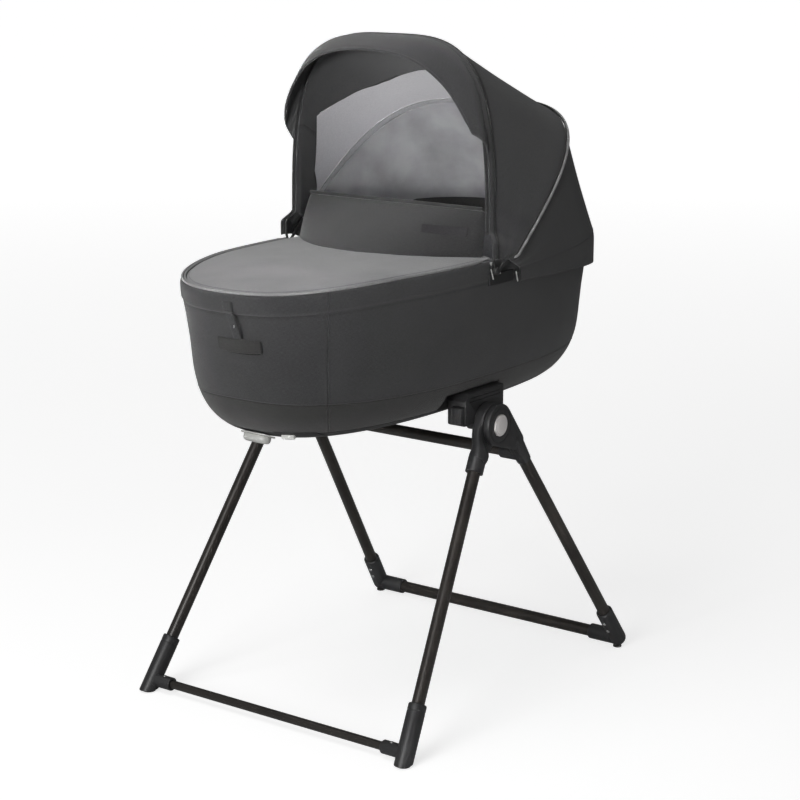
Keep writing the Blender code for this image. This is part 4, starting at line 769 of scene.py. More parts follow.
# Cot adapters and their release buttons
# Thick nylon blocks on the inner ends of the pivot pins. The cot drops onto them, and a ribbed
# button at the front of each lets it go again.
ADAPTER_X, ADAPTER_Y, ADAPTER_Z = (0.170, 0.2077), (-0.075, 0.045), (0.500, 0.556)
BUTTON_X, BUTTON_HALF_WIDTH, BUTTON_Y, BUTTON_Z = 0.1945, 0.0110, (-0.086, -0.0625), (0.5035, 0.5345)
SLOPE = ((-0.077, 0.5415), (-0.077, 0.5600), (-0.0575, 0.5600))


def adapter_block(side):
    body = block((side * ADAPTER_X[0], ADAPTER_Y[0], ADAPTER_Z[0]),
                 (side * ADAPTER_X[1], ADAPTER_Y[1], ADAPTER_Z[1]), 0.004)
    boss = rod((side * (ADAPTER_X[0] + 0.008), PIVOT_Y, PIVOT_Z), (side * ADAPTER_X[1], PIVOT_Y, PIVOT_Z),
               0.015)
    inner_x, outer_x = BUTTON_X - BUTTON_HALF_WIDTH - 0.0004, BUTTON_X + BUTTON_HALF_WIDTH + 0.0004
    pocket = block((side * inner_x, ADAPTER_Y[0] - 0.01, BUTTON_Z[0] - 0.0004),
                   (side * outer_x, BUTTON_Y[1] + 0.005, BUTTON_Z[1] + 0.0004))
    grooves = [block((side * (ADAPTER_X[1] - 0.0012), ADAPTER_Y[0] + 0.014, z),
                     (side * 0.22, ADAPTER_Y[1] - 0.014, z + 0.0016)) for z in (0.5405, 0.5465)]
    slope = loft([[Vector((side * x, y, z)) for y, z in SLOPE] for x in (0.16, 0.22)])
    return cut(united(body, boss), slope, pocket, pin_hole(side, ADAPTER_X[0] + 0.0115, ADAPTER_X[1] + 0.01),
               *grooves)


def rib_maker():
    """Rounded ribs in a row across a face, at even steps from a start point."""
    tree, given, result = geometry_tree("grip_ribs", {
        "Start": "NodeSocketVector", "End": "NodeSocketVector", "Count": "NodeSocketInt",
        "Length": "NodeSocketFloat", "Radius": "NodeSocketFloat", "Material": "NodeSocketMaterial"})
    row = wire(tree, "GeometryNodeMeshLine", {"Count": given["Count"], "Start Location": given["Start"],
                                              "Offset": given["End"]}, mode="END_POINTS")
    half = figure(tree, "MULTIPLY", given["Length"], 0.5)
    low = wire(tree, "ShaderNodeCombineXYZ", {2: figure(tree, "MULTIPLY", half, -1.0)})
    high = wire(tree, "ShaderNodeCombineXYZ", {2: half})
    line = wire(tree, "GeometryNodeCurvePrimitiveLine", {"Start": low.outputs[0], "End": high.outputs[0]})
    ring = wire(tree, "GeometryNodeCurvePrimitiveCircle", {"Resolution": 12, "Radius": given["Radius"]})
    rib = wire(tree, "GeometryNodeCurveToMesh", {"Curve": line.outputs[0], "Profile Curve": ring.outputs[0],
                                                 "Fill Caps": True})
    return repeated(tree, row.outputs[0], rib.outputs[0], given["Material"], result)


RIBS = rib_maker()
for word, side in SIDES.items():
    piece(f"cot_adapter_{word}", adapter_block(side), BLACK_PLASTIC, "rear_frame", (f"adapter_{word}",),
          bevel=0.0006, slot="black_plastic")
    button = block((side * (BUTTON_X - BUTTON_HALF_WIDTH), BUTTON_Y[0] + 0.0008, BUTTON_Z[0]),
                   (side * (BUTTON_X + BUTTON_HALF_WIDTH), BUTTON_Y[1], BUTTON_Z[1]), 0.0025)
    piece(f"release_button_{word}", button, BLACK_PLASTIC, f"adapter_button_{word}",
          (f"adapter_button_{word}",), slot="black_plastic")
    level = (BUTTON_Z[0] + BUTTON_Z[1]) / 2
    row = {"Start": (side * BUTTON_X - 0.0070, BUTTON_Y[0] + 0.0014, level), "Count": 3, "Length": 0.027,
           "End": (side * BUTTON_X + 0.0070, BUTTON_Y[0] + 0.0014, level), "Radius": 0.0018,
           "Material": BLACK_PLASTIC}
    carried(grown(f"button_ribs_{word}", RIBS, row), f"adapter_button_{word}")


# Base tray and the adapter sockets
# A black moulded shell closes the cot's underside and carries everything else. Its upstand stands
# inside the fabric, and a moulded socket in each flank drops over the stand's adapter.
RIM_HALF_WIDTH, RIM_FOOT, RIM_HEAD, RIM_Z = 0.215, 0.458, 0.450, 0.777
BOTTOM_Z, SHELL_TOP_Z, BAND_TOP_Z = 0.514, 0.5295, 0.588
FOOT_POWER, HEAD_POWER = 2.6, 3.4
FABRIC = 0.0025
SOCKET_BOX = ((0.166, 0.25), (-0.102, 0.049), (0.494, 0.5563))
COLLAR_FOOT_Z, COLLAR_HEIGHT, COLLAR_BULGE = 0.742, 0.035, 0.0025
SOCKET_CLEARANCE = 0.0028
COLLAR_CURVE = ((0.0, 0.0), (0.12, 0.65), (0.4, 1.0), (0.7, 0.92), (0.93, 0.5), (1.0, 0.0))


def cot_section(z):
    """Half width, foot reach and head reach of the cot's skin at a level."""
    fall = max(0.0, (RIM_Z - z) / (RIM_Z - BOTTOM_Z)) ** 1.3
    turn = unit((0.620 - z) / 0.106)
    tuck = 0.067 * (1 - math.sqrt(1 - turn ** 2.4))
    return (RIM_HALF_WIDTH - 0.017 * fall - tuck,
            RIM_FOOT - 0.045 * fall - tuck, RIM_HEAD - 0.043 * fall - tuck)


def dipped(x, y, z):
    """The rim and the levels below it dip towards the foot end."""
    dip = 0.012 * unit((-y - 0.22) / (RIM_FOOT - 0.22)) ** 1.5
    return Vector((x, y, z - dip * max(0.0, (z - BOTTOM_Z) / (RIM_Z - BOTTOM_Z))))


def plan_point(angle, half_width, foot, head):
    c, s = superellipse(angle, FOOT_POWER if math.sin(angle) < 0 else HEAD_POWER)
    return half_width * c, (foot if s < 0 else head) * s


def skin_point(angle, z, outset=0.0):
    half_width, foot, head = cot_section(z)
    return dipped(*plan_point(angle, half_width + outset, foot + outset, head + outset), z)


def cot_ring(z, outset=0.0):
    return [skin_point(2 * math.pi * i / 144, z, outset) for i in range(144)]


def socket_space(side, grow, low=None):
    (near, far), (front, rear), (base, top) = SOCKET_BOX
    return block((side * (near - grow), front - grow, low or base), (side * far, rear + grow, top + grow))


def tray_shape():
    rounded = [(BOTTOM_Z, -0.004), (BOTTOM_Z, -0.0012), (BOTTOM_Z + 0.0005, 0), (0.518, 0), (0.5235, 0),
               (SHELL_TOP_Z - 0.0012, 0), (SHELL_TOP_Z, -0.0012)]
    upstand = [(z, -0.003) for z in (SHELL_TOP_Z, 0.5365, 0.546, 0.562, BAND_TOP_Z, 0.609, 0.630)]
    inside = [(z, -0.006) for z in (0.630, 0.609, BAND_TOP_Z, 0.562, 0.546, 0.5365, SHELL_TOP_Z, 0.5235,
                                    0.519, 0.517)]
    shape = loft([cot_ring(z, outset) for z, outset in rounded + upstand + inside])
    return cut(shape, *(socket_space(side, SOCKET_CLEARANCE) for side in SIDES.values()), knob_hole())


def foot_skin(x, z, lift=0.0):
    """Point on the foot end's skin, at a place across and a level, lifted off it."""
    half_width, foot, _ = cot_section(z)
    outset = collar_bulge(z) + lift
    share = 1 - (abs(x) / (half_width + outset)) ** FOOT_POWER
    return dipped(x, -(foot + outset) * share ** (1 / FOOT_POWER), z)


def collar_bulge(z):
    """How far the padded collar stands out of the skin."""
    return COLLAR_BULGE * read_curve(COLLAR_CURVE, (z - COLLAR_FOOT_Z) / COLLAR_HEIGHT)


def skin_frame(x, z):
    """Seat on the foot end's skin: point, direction across, direction down and outward normal."""
    across_way = (foot_skin(x + 0.001, z) - foot_skin(x - 0.001, z)).normalized()
    down = (foot_skin(x, z - 0.001) - foot_skin(x, z + 0.001)).normalized()
    out = across_way.cross(down).normalized()
    return foot_skin(x, z), across_way, down, out if out.y < 0 else -out


KNOB_SEAT, KNOB_ACROSS, KNOB_DOWN, KNOB_OUT = skin_frame(0.0, 0.5195)


def knob_hole():
    return rod(KNOB_SEAT + KNOB_OUT * 0.02, KNOB_SEAT - KNOB_OUT * 0.018, 0.0044)


def socket_shape(side):
    shell = cut(socket_space(side, 0.0025, BOTTOM_Z + 0.003), socket_space(side, 0.0))
    skin = loft([cot_ring(z, -0.0006) for z in (0.515, 0.520, 0.530, 0.540, 0.550, 0.560, 0.570)])
    return combine(shell, skin, "INTERSECT")


TRAY_PLASTIC = moulded_plastic("tray_moulding", (0.020, 0.020, 0.020), (0.040, 0.040, 0.040), 0.50, 0.0007,
                               0.35)
piece("tray_shell", tray_shape(), TRAY_PLASTIC, "cot", ("base_tray",), slot="black_plastic", smooth=30)
for word, side in SIDES.items():
    piece(f"flank_socket_{word}", socket_shape(side), TRAY_PLASTIC, "cot", (f"adapter_socket_{word}",),
          bevel=0.0005, slot="black_plastic")


# Turning knob and vent at the foot end
# An oval grey knob on a grey plate under the foot end raises the backrest. Beside it a dark
# louvred plate lets air under the mattress, opened and shut by a small white slider.
KNOB_LIFT, KNOB_HALVES, KNOB_PLATE_HALVES = 0.0031, (0.026, 0.014), (0.033, 0.017)
VENT_X, VENT_Z, VENT_HALF_HEIGHT = (0.046, 0.104), 0.5275, 0.0055
SLIDER_X = 0.065
KNOB_GREY = moulded_plastic("knob_grey", (0.50, 0.50, 0.48), (0.66, 0.66, 0.63), 0.34, 0.0004, 0.08)
SLIDER_WHITE = moulded_plastic("slider_white", (0.70, 0.70, 0.67), (0.84, 0.84, 0.81), 0.36, 0.0004, 0.08)


def knob_ring(height, half_length, half_width):
    ring = []
    for i in range(72):
        c, s = superellipse(2 * math.pi * i / 72, 2.3)
        ring.append(KNOB_SEAT + KNOB_OUT * height
                    + KNOB_ACROSS * half_length * c + KNOB_DOWN * half_width * s)
    return ring


def knob_shape():
    profile = [(0, 0.0012), (0.0004, 0.0004), (0.0012, 0), (0.0062, 0), (0.0078, 0.0003), (0.0092, 0.0011),
               (0.0103, 0.0022), (0.0112, 0.0038), (0.0117, 0.0056), (0.0116, 0.0066), (0.0110, 0.0074),
               (0.0108, 0.0090), (0.0110, 0.0105), (0.0112, 0.0125)]
    body = loft([knob_ring(KNOB_LIFT + rise, *(half - inset for half in KNOB_HALVES))
                 for rise, inset in profile])
    return united(body, rod(KNOB_SEAT + KNOB_OUT * (KNOB_LIFT + 0.001), KNOB_SEAT - KNOB_OUT * 0.012, 0.004))


def knob_base():
    profile = [(0.0008, 0.0), (0.0022, 0.0), (0.0026, 0.0003), (0.0028, 0.0008)]
    rings = [knob_ring(rise, *(half - inset for half in KNOB_PLATE_HALVES)) for rise, inset in profile]
    return cut(loft(rings), knob_hole())


def half_across(path, half_widths):
    """For each (x, z) point of a path: the point, and the vector from it to the strip's edge."""
    for i, (x, z) in enumerate(path):
        ahead, behind = path[min(i + 1, len(path) - 1)], path[max(i - 1, 0)]
        run = Vector((ahead[0] - behind[0], ahead[1] - behind[1])).normalized()
        yield x, z, Vector((-run.y, run.x)) * half_widths[i]


def strip_on_skin(path, half_widths, lift, thickness, across_steps=8, soft=0.35):
    """A strip lying on the foot end's skin along (x, z) points, its edges rounded off."""
    rings = []
    ways = [-1 + 2 * k / across_steps for k in range(across_steps + 1)]
    for x, z, edge in half_across(path, half_widths):
        low = [(way * 0.985, lift) for way in ways]
        high = [(way, lift + thickness * (1 - soft * abs(way) ** 6)) for way in reversed(ways)]
        rings.append([foot_skin(x + way * edge.x, z + way * edge.y, rise) for way, rise in low + high])
    return loft(rings)


def straight(start, end, steps):
    return [(start[0] + (end[0] - start[0]) * i / steps, start[1] + (end[1] - start[1]) * i / steps)
            for i in range(steps + 1)]


def vent_shape():
    path = straight((VENT_X[0], VENT_Z), (VENT_X[1], VENT_Z), 40)
    plate_shape = strip_on_skin(path, [VENT_HALF_HEIGHT] * len(path), 0.0008, 0.0014, 6, 0.2)
    slots = []
    for x, half in ((0.0835, 0.0085), (0.0985, 0.004)):
        centre, side_way, down, out = skin_frame(x, VENT_Z)
        turn = Matrix((side_way, down, out)).transposed().to_4x4()
        slot = bmesh.new()
        bmesh.ops.create_cube(slot, size=1, matrix=Matrix.Translation(centre + out * 0.0022) @ turn
                              @ Matrix.Diagonal((half * 2, 0.0030, 0.0018, 1)))
        slots.append(slot)
    return cut(plate_shape, *slots)


def slider_shape():
    centre, side_way, down, out = skin_frame(SLIDER_X, VENT_Z)
    rise = 0.0022 * math.hypot(out.x, out.y) + 0.0003
    rings = []
    for height, inset in ((0, 0), (0.0030, 0), (0.0042, 0.0002), (0.0054, 0.0008), (0.0062, 0.0016),
                          (0.0065, 0.0026)):
        ring = []
        for i in range(48):
            c, s = superellipse(2 * math.pi * i / 48, 5)
            ring.append(centre + out * (rise + height)
                        + side_way * (0.011 - inset) * c + down * (0.003 - inset * 0.6) * s)
        rings.append(ring)
    return loft(rings)


piece("knob_seat_plate", knob_base(), KNOB_GREY, "cot", ("knob_plate",), slot="warm_grey_plastic")
piece("turning_knob", knob_shape(), KNOB_GREY, "backrest_knob", ("backrest_knob",), slot="warm_grey_plastic")
piece("vent_louvre", vent_shape(), TRAY_PLASTIC, "cot", ("vent_plate",), slot="black_plastic")
piece("vent_lever", slider_shape(), SLIDER_WHITE, "vent_slider", ("vent_slider",), slot="white_plastic")


# Lower band and side fabric
# Woven polyester panels sewn into a sleeve over the tray and the rim frame: a dark band at the
# bottom, and above it the charcoal side with its padded collar. Two seams stand at the foot end.
COLLAR_CREASE_Z = 0.7435
BAND_RISE, BAND_SIDE_TOP_Z = 0.0165, 0.576
SEAM_ANGLE, SEAM_SLANT = math.radians(-49.2), math.radians(16.3)
SEAM_METRES_PER_RADIAN = 0.405
STITCH = {"Pitch": 0.0034, "Length": 0.0025, "Radius": 0.00032}


def plain_weave():
    """A plain weave on thread coordinates: the height of its crossing threads, and long flecks of dye."""
    tree, given, result = shader_group(
        "plain_weave", {"Vector": (0, 0, 0), "Thread": 0.0006, "Fleck": 0.006}, ("Height", "Fleck"))
    spot = given.outputs["Vector"]
    per_metre = figure(tree, "DIVIDE", 1.0, given.outputs["Thread"])
    count = wire(tree, "ShaderNodeVectorMath", {0: spot, 3: per_metre}, operation="SCALE").outputs[0]
    over = wire(tree, "ShaderNodeTexChecker", {"Vector": count, "Scale": 1.0}).outputs["Fac"]
    step = wire(tree, "ShaderNodeSeparateXYZ", {0: count})
    warp, weft = (figure(tree, "ABSOLUTE", figure(tree, "SINE",
                                                  figure(tree, "MULTIPLY", step.outputs[i], math.pi)))
                  for i in (0, 1))
    height = wire(tree, "ShaderNodeMix", {0: over, 2: warp, 3: weft}, data_type="FLOAT").outputs[0]
    tree.links.new(height, result.inputs["Height"])
    long_way = figure(tree, "DIVIDE", 1.0, given.outputs["Fleck"])
    flecks = []
    for axis in (0, 1):
        lengths = [figure(tree, "MULTIPLY", long_way, 9.0)] * 3
        lengths[axis] = long_way
        scale = wire(tree, "ShaderNodeCombineXYZ", {0: lengths[0], 1: lengths[1], 2: long_way}).outputs[0]
        drawn = wire(tree, "ShaderNodeVectorMath", {0: spot, 1: scale}, operation="MULTIPLY").outputs[0]
        flecks.append(noise(tree, drawn, 1.0 + 0.3 * axis, 3, 0.6))
    tree.links.new(figure(tree, "MULTIPLY", figure(tree, "ADD", *flecks), 0.5), result.inputs["Fleck"])
    return tree


WEAVE = plain_weave()


def woven(name, dark, light, thread=0.0006, fleck=0.006, contrast=0.09, bump=0.35, roughness=(0.82, 0.95),
          sheen=0.25):
    """A woven cloth whose threads follow the piece's own thread coordinates."""
    made, tree, shader, place = finish(name, light, roughness[1])
    thread_place = wire(tree, "ShaderNodeAttribute", attribute_name="thread").outputs["Vector"]
    cloth = grouped(tree, WEAVE, {"Vector": thread_place, "Thread": thread, "Fleck": fleck})
    worn = grouped(tree, HANDLED, {"Vector": place, "Cloud Size": 0.09, "Scuff Size": 0.0045})
    tone = figure(tree, "MULTIPLY_ADD", ramp(tree, worn["Cloud"], -0.12, 0.12, 0.3, 0.7), 1.0,
                  ramp(tree, cloth["Fleck"], 0.0, 1.0, 0.5 - contrast, 0.5 + contrast))
    # Painted light and shade of the weave: the weave's height makes thread crowns lighter and the gaps
    # between threads darker.
    tone_with_painted_weave_shade = figure(tree, "MULTIPLY_ADD", cloth["Height"], 0.25, figure(tree, "SUBTRACT", tone, 0.15))
    clamped = wire(tree, "ShaderNodeClamp", {"Value": tone_with_painted_weave_shade}).outputs[0]
    tree.links.new(shades(tree, clamped, dark, light), shader.inputs["Base Color"])
    tree.links.new(ramp(tree, worn["Scuff"], *roughness, 0.3, 0.7), shader.inputs["Roughness"])
    height = figure(tree, "MULTIPLY_ADD", cloth["Fleck"], 0.8, cloth["Height"])
    bumped(tree, shader, height, bump, 0.00025)
    shader.inputs["Sheen Weight"].default_value = sheen
    shader.inputs["Sheen Roughness"].default_value = 0.6
    shader.inputs["Specular IOR Level"].default_value = 0.3
    return made


CHARCOAL = woven("charcoal_weave", (0.024, 0.024, 0.025), (0.050, 0.050, 0.052))
BAND_CLOTH = woven("dark_band_weave", (0.018, 0.0175, 0.017), (0.036, 0.035, 0.034), thread=0.0008, bump=0.5)
DARK_THREAD = rubbed_finish("dark_sewing_thread", (0.020, 0.020, 0.020), 0.6, (0.01, 0.0006),
                            ((0.008, 0.008, 0.008), (0.020, 0.020, 0.020)), (0.5, 0.7), (0.3, 0.0002),
                            tone="Scuff")


def perimeter(columns, rows, wrap):
    """Index loops round the free edges of a grid."""
    if wrap:
        return [[(i, 0) for i in range(columns)], [(i, rows - 1) for i in reversed(range(columns))]]
    return [[(i, 0) for i in range(columns)] + [(columns - 1, k) for k in range(1, rows)]
            + [(i, rows - 1) for i in reversed(range(columns - 1))]
            + [(0, k) for k in reversed(range(1, rows - 1))]]


def cloth_shape(outer, inner, wrap=False, hem=0.0009):
    """A sheet between two equal grids of points, with rounded edges and thread coordinates in metres."""
    columns, rows = len(outer), len(outer[0])
    shape = bmesh.new()
    layer = shape.verts.layers.float_vector.new("thread")
    faces = [[[shape.verts.new(point) for point in column] for column in grid] for grid in (outer, inner)]
    middle = rows // 2
    along = [0.0]
    for i in range(1, columns):
        along.append(along[-1] + (outer[i][middle] - outer[i - 1][middle]).length)
    for i in range(columns):
        down = 0.0
        for k in range(rows):
            down += (outer[i][k] - outer[i][k - 1]).length if k else 0.0
            for depth, grid in enumerate(faces):
                grid[i][k][layer] = (along[i], down, 0.013 * depth)
    for i in range(columns if wrap else columns - 1):
        j = (i + 1) % columns
        for k in range(rows - 1):
            for grid in faces:
                shape.faces.new((grid[i][k], grid[j][k], grid[j][k + 1], grid[i][k + 1]))
    for loop in perimeter(columns, rows, wrap):
        edge = []
        for i, k in loop:
            inward = (i if wrap else min(max(i, 1), columns - 2), min(max(k, 1), rows - 2))
            away = (outer[i][k] - outer[inward[0]][inward[1]]).normalized()
            vert = shape.verts.new((outer[i][k] + inner[i][k]) / 2 + away * hem)
            vert[layer] = faces[0][i][k][layer] + Vector((0, hem, 0))
            edge.append(vert)
        for n in range(len(loop)):
            (i, k), (j, m) = loop[n], loop[(n + 1) % len(loop)]
            for grid in faces:
                shape.faces.new((grid[i][k], grid[j][m], edge[(n + 1) % len(loop)], edge[n]))
    bmesh.ops.recalc_face_normals(shape, faces=shape.faces)
    return shape


def cut_size(grid, wrap=False):
    """Width, length and area of the flat cloth that a grid of points was cut from."""
    def run(points, closed=False):
        ends = points + points[:1] if closed else points
        return sum((b - a).length for a, b in zip(ends, ends[1:]))
    columns, rows = len(grid), len(grid[0])
    width = max(run([column[k] for column in grid], wrap) for k in range(rows))
    length = max(run(column) for column in grid)
    area = 0.0
    for i in range(columns if wrap else columns - 1):
        near, far = grid[i], grid[(i + 1) % columns]
        for k in range(rows - 1):
            area += (far[k + 1] - near[k]).cross(near[k + 1] - far[k]).length / 2
    return (width, length), area


def sewn(name, outer, inner, material, body, replaced=(), slot=None, wrap=False, held="stretched",
         rests_on=(), hem=0.0009, smooth=50):
    """A cloth piece made from two grids; the size that it was cut to is worked out but not used."""
    made = piece(name, cloth_shape(outer, inner, wrap, hem), material, body, replaced, slot=slot,
                 smooth=smooth)
    flat, area = cut_size(outer, wrap)
    return made


def stitch_maker():
    """Short rounded threads at even steps along the line of the starting mesh."""
    tree, given, result = geometry_tree("stitches", {
        "Pitch": "NodeSocketFloat", "Length": "NodeSocketFloat", "Radius": "NodeSocketFloat",
        "Material": "NodeSocketMaterial"})
    line = wire(tree, "GeometryNodeMeshToCurve", {0: given["Geometry"]})
    even = wire(tree, "GeometryNodeResampleCurve", {"Curve": line.outputs[0], "Length": given["Pitch"]},
                mode="LENGTH")
    spots = wire(tree, "GeometryNodeCurveToPoints", {"Curve": even.outputs[0]}, mode="EVALUATED")
    ball = wire(tree, "GeometryNodeMeshUVSphere", {"Segments": 6, "Rings": 4, "Radius": 1.0})
    half = figure(tree, "MULTIPLY", given["Length"], 0.5)
    shape = wire(tree, "ShaderNodeCombineXYZ", {0: given["Radius"], 1: given["Radius"], 2: half})
    thread = wire(tree, "GeometryNodeTransform", {"Geometry": ball.outputs[0], "Scale": shape.outputs[0]})
    turn = wire(tree, "FunctionNodeAlignRotationToVector", {"Vector": spots.outputs["Tangent"]}, axis="Z")
    return repeated(tree, spots.outputs[0], thread.outputs[0], given["Material"], result, turn.outputs[0])


STITCHES = stitch_maker()


def stitched(name, points, body, closed=False, slot="charcoal_fabric", **sizes):
    """A row of stitches along a list of points."""
    mesh = bpy.data.meshes.new(name)
    count = len(points)
    mesh.from_pydata(points, [(i, (i + 1) % count) for i in range(count if closed else count - 1)], [])
    row = grown(name, STITCHES, {**STITCH, **sizes, "Material": DARK_THREAD}, mesh)
    return carried(row, body)


def soft(x, y, z, size):
    """Smooth wandering value from -1 to 1 in space."""
    return perlin.noise(Vector((x, y, z)) / size)


def column_angles():
    """Angles round the cot: even steps, with fine ones on both sides of each foot seam."""
    fine = [math.radians(0.142 * mm)
            for mm in (-9, -6, -4, -2.6, -1.6, -0.9, -0.4, 0.4, 0.9, 1.6, 2.6, 4, 6, 9)]
    seams = [SEAM_ANGLE, -math.pi - SEAM_ANGLE]
    even = [-math.pi + 2 * math.pi * i / 168 for i in range(168)]
    even = [angle for angle in even if all(abs(angle - seam) > 0.026 for seam in seams)]
    return sorted(even + [seam + step for seam in seams for step in fine + [0.0]])


def panel_point(angle, z, outset):
    """Point on the cot's skin, the columns near the foot slanting with the seams."""
    slant = eased(unit(-math.sin(angle) / 0.5)) * math.cos(angle)
    return skin_point(angle - SEAM_SLANT * (RIM_Z - z) * slant, z, outset)


def seam_relief(angle, z):
    """Height of the cloth near the two foot seams: a sharp groove between low puckered ridges."""
    relief = 0.0
    for seam in (SEAM_ANGLE, -math.pi - SEAM_ANGLE):
        away = abs(angle - seam) * SEAM_METRES_PER_RADIAN
        if away < 0.02:
            pucker = 1 + 0.45 * math.sin(z * 2 * math.pi / 0.0115 + 2.1 * math.sin(z * 71))
            relief += 0.0006 * pucker * math.exp(-((away - 0.0032) / 0.0022) ** 2)
            relief -= 0.0014 * math.exp(-(away / 0.0006) ** 2)
    return relief


def side_relief(angle, z):
    """Slack, crease and wandering of the side fabric."""
    place = panel_point(angle, z, 0.0)
    span = unit((z - 0.63) / (COLLAR_CREASE_Z - 0.63))
    slack = -0.0016 * math.sin(math.pi * span)
    crease = -0.0016 * math.exp(-((z - COLLAR_CREASE_Z) / 0.0020) ** 2)
    crease += 0.0005 * math.exp(-((z - COLLAR_CREASE_Z - 0.006) / 0.004) ** 2)
    wander = 0.0008 * soft(*place, 0.07) + 0.00035 * soft(*place, 0.026)
    fitted = math.exp(-((place.x - 0.027) / 0.05) ** 4) if place.y < -0.3 and z > 0.66 else 0.0
    return slack + crease + wander * (1 - fitted)


def band_top(angle):
    return BAND_SIDE_TOP_Z + BAND_RISE * max(0.0, -math.sin(angle)) ** 2


SOFT_EDGE = 0.0012


def rounded_steps(low, high, count):
    """Levels between two, with extra ones close to each end."""
    even = [low + SOFT_EDGE + (high - low - 2 * SOFT_EDGE) * i / count for i in range(count + 1)]
    return [low, low + SOFT_EDGE * 0.35, *even, high - SOFT_EDGE * 0.35, high]


def edge_turn(z, low, high):
    """How far a cloth's face turns in next to its sewn or folded edges."""
    near = min(z - low, high - z)
    return -0.0009 * max(0.0, 1 - near / SOFT_EDGE) ** 2


COT_ANGLES = column_angles()
side_outer, side_inner, band_outer, band_inner = [], [], [], []
for angle in COT_ANGLES:
    seam_z = band_top(angle)
    levels = rounded_steps(seam_z, RIM_Z, 62)
    outsets = [collar_bulge(z) + side_relief(angle, z) * min(1.0, (RIM_Z - z) / 0.01) + seam_relief(angle, z)
               + edge_turn(z, seam_z, RIM_Z) for z in levels]
    side_outer.append([panel_point(angle, z, outset) for z, outset in zip(levels, outsets)])
    side_inner.append([panel_point(angle, z, -FABRIC) for z in levels])
    band_levels = rounded_steps(SHELL_TOP_Z + 0.0005, seam_z - 0.0002, 26)
    drawn = [seam_relief(angle, z) + 0.0003 * soft(*panel_point(angle, z, 0), 0.03)
             + edge_turn(z, band_levels[0], band_levels[-1]) for z in band_levels]
    band_outer.append([panel_point(angle, z, outset) for z, outset in zip(band_levels, drawn)])
    band_inner.append([panel_point(angle, z, -FABRIC) for z in band_levels])
sewn("side_panels", side_outer, side_inner, CHARCOAL, "cot", ("side_fabric",), "charcoal_fabric", True,
     rests_on=("rim_frame", "base_tray"))
band_shape = cut(cloth_shape(band_outer, band_inner, True),
                 *(socket_space(side, SOCKET_CLEARANCE) for side in SIDES.values()))
band_cloth = piece("band_panels", band_shape, BAND_CLOTH, "cot", ("lower_band",), slot="charcoal_fabric",
                   smooth=50)
band_flat, band_area = cut_size(band_outer, True)
stitched("collar_stitches", [panel_point(a, COLLAR_CREASE_Z - 0.0035, -0.0002) for a in COT_ANGLES], "cot",
         closed=True)
stitched("band_stitches", [panel_point(a, band_top(a) + 0.0030, 0.0001) for a in COT_ANGLES], "cot",
         closed=True)


# Rim frame, liner and mattress
# An alloy hoop stiffens the rim inside the collar. The light liner hangs from it down to the
# tray, and a foam mattress with a sewn cotton cover fills the floor.
FRAME_WIDTH, FRAME_HEIGHT = 0.010, 0.020
LINER_INSET = FABRIC + 0.0006 + FRAME_WIDTH
MATTRESS_Z, MATTRESS_HEIGHT, MATTRESS_EDGE = 0.5216, 0.035, 0.008
MATTRESS_REACH = (0.150, 0.354, 0.354)
BOARD_LEVEL_Z, BOARD_THICKNESS, BOARD_GAP = 0.5173, 0.004, 0.0025
BOARD_HALF_WIDTH, BOARD_REACH, HINGE_ROD_RADIUS = 0.142, 0.350, 0.0018
HOLE_RADIUS, HOLE_STEP_X, HOLE_STEP_Y = 0.005, 0.036, 0.05
LINER_FOOT_Z, SWELL_FRAMES = 0.5625, 20


def alloy_hoop():
    rounding = [(0.0, 0.002), (0.0006, 0.0006), (0.002, 0.0)]
    sides = ([(low, inset) for low, inset in rounding]
             + [(FRAME_HEIGHT - low, inset) for low, inset in reversed(rounding)])
    outer = [cot_ring(RIM_Z - 0.0003 - FRAME_HEIGHT + rise, -FABRIC - 0.0005 - inset)
             for rise, inset in sides]
    inner = [cot_ring(RIM_Z - 0.0003 - FRAME_HEIGHT + rise, -FABRIC - 0.0002 - FRAME_WIDTH + inset)
             for rise, inset in reversed(sides)]
    return loft(outer + inner, closed=True)


def flat_board(end):
    """Half of the bed board, with rounded rims and three rows of vent holes."""
    rings = [(0.0, 0.0012), (0.0012, 0.0), (BOARD_THICKNESS - 0.0012, 0.0), (BOARD_THICKNESS, 0.0012)]
    turns = [2 * math.pi * i / 120 for i in range(120)]
    layers = []
    for rise, inset in rings:
        half, reach = BOARD_HALF_WIDTH - inset, BOARD_REACH - inset
        layers.append([Vector((*plan_point(t, half, reach, reach), BOARD_LEVEL_Z + rise)) for t in turns])
    board = loft(layers)
    near, far = sorted((end * BOARD_GAP, -end * 0.6))
    board = cut(board, block((-0.3, near, BOARD_LEVEL_Z - 0.01), (0.3, far, BOARD_LEVEL_Z + 0.02)))
    holes = bmesh.new()
    for i in range(-3, 4):
        for k in range(6):
            y = end * (HOLE_STEP_Y + HOLE_STEP_Y * k)
            if (abs(i * HOLE_STEP_X) / 0.128) ** 2.4 + (abs(y) / 0.335) ** 2.4 < 1:
                matrix = Matrix.Translation((i * HOLE_STEP_X, y, BOARD_LEVEL_Z + BOARD_THICKNESS / 2))
                bmesh.ops.create_cone(holes, cap_ends=True, segments=20, radius1=HOLE_RADIUS,
                                      radius2=HOLE_RADIUS, depth=0.02, matrix=matrix)
    return cut(board, holes)


def inner_wall(z, outset):
    """A ring of the liner, eased towards its sewn upper edge."""
    fall = (RIM_Z - z) / 0.21
    ring = []
    for i in range(150):
        angle = 2 * math.pi * i / 150
        place = skin_point(angle, z, -LINER_INSET)
        fold = 0.0008 * soft(*place, 0.045) * min(1.0, fall * 4)
        ring.append(skin_point(angle, z, -LINER_INSET - 0.001 + fold + outset))
    return ring


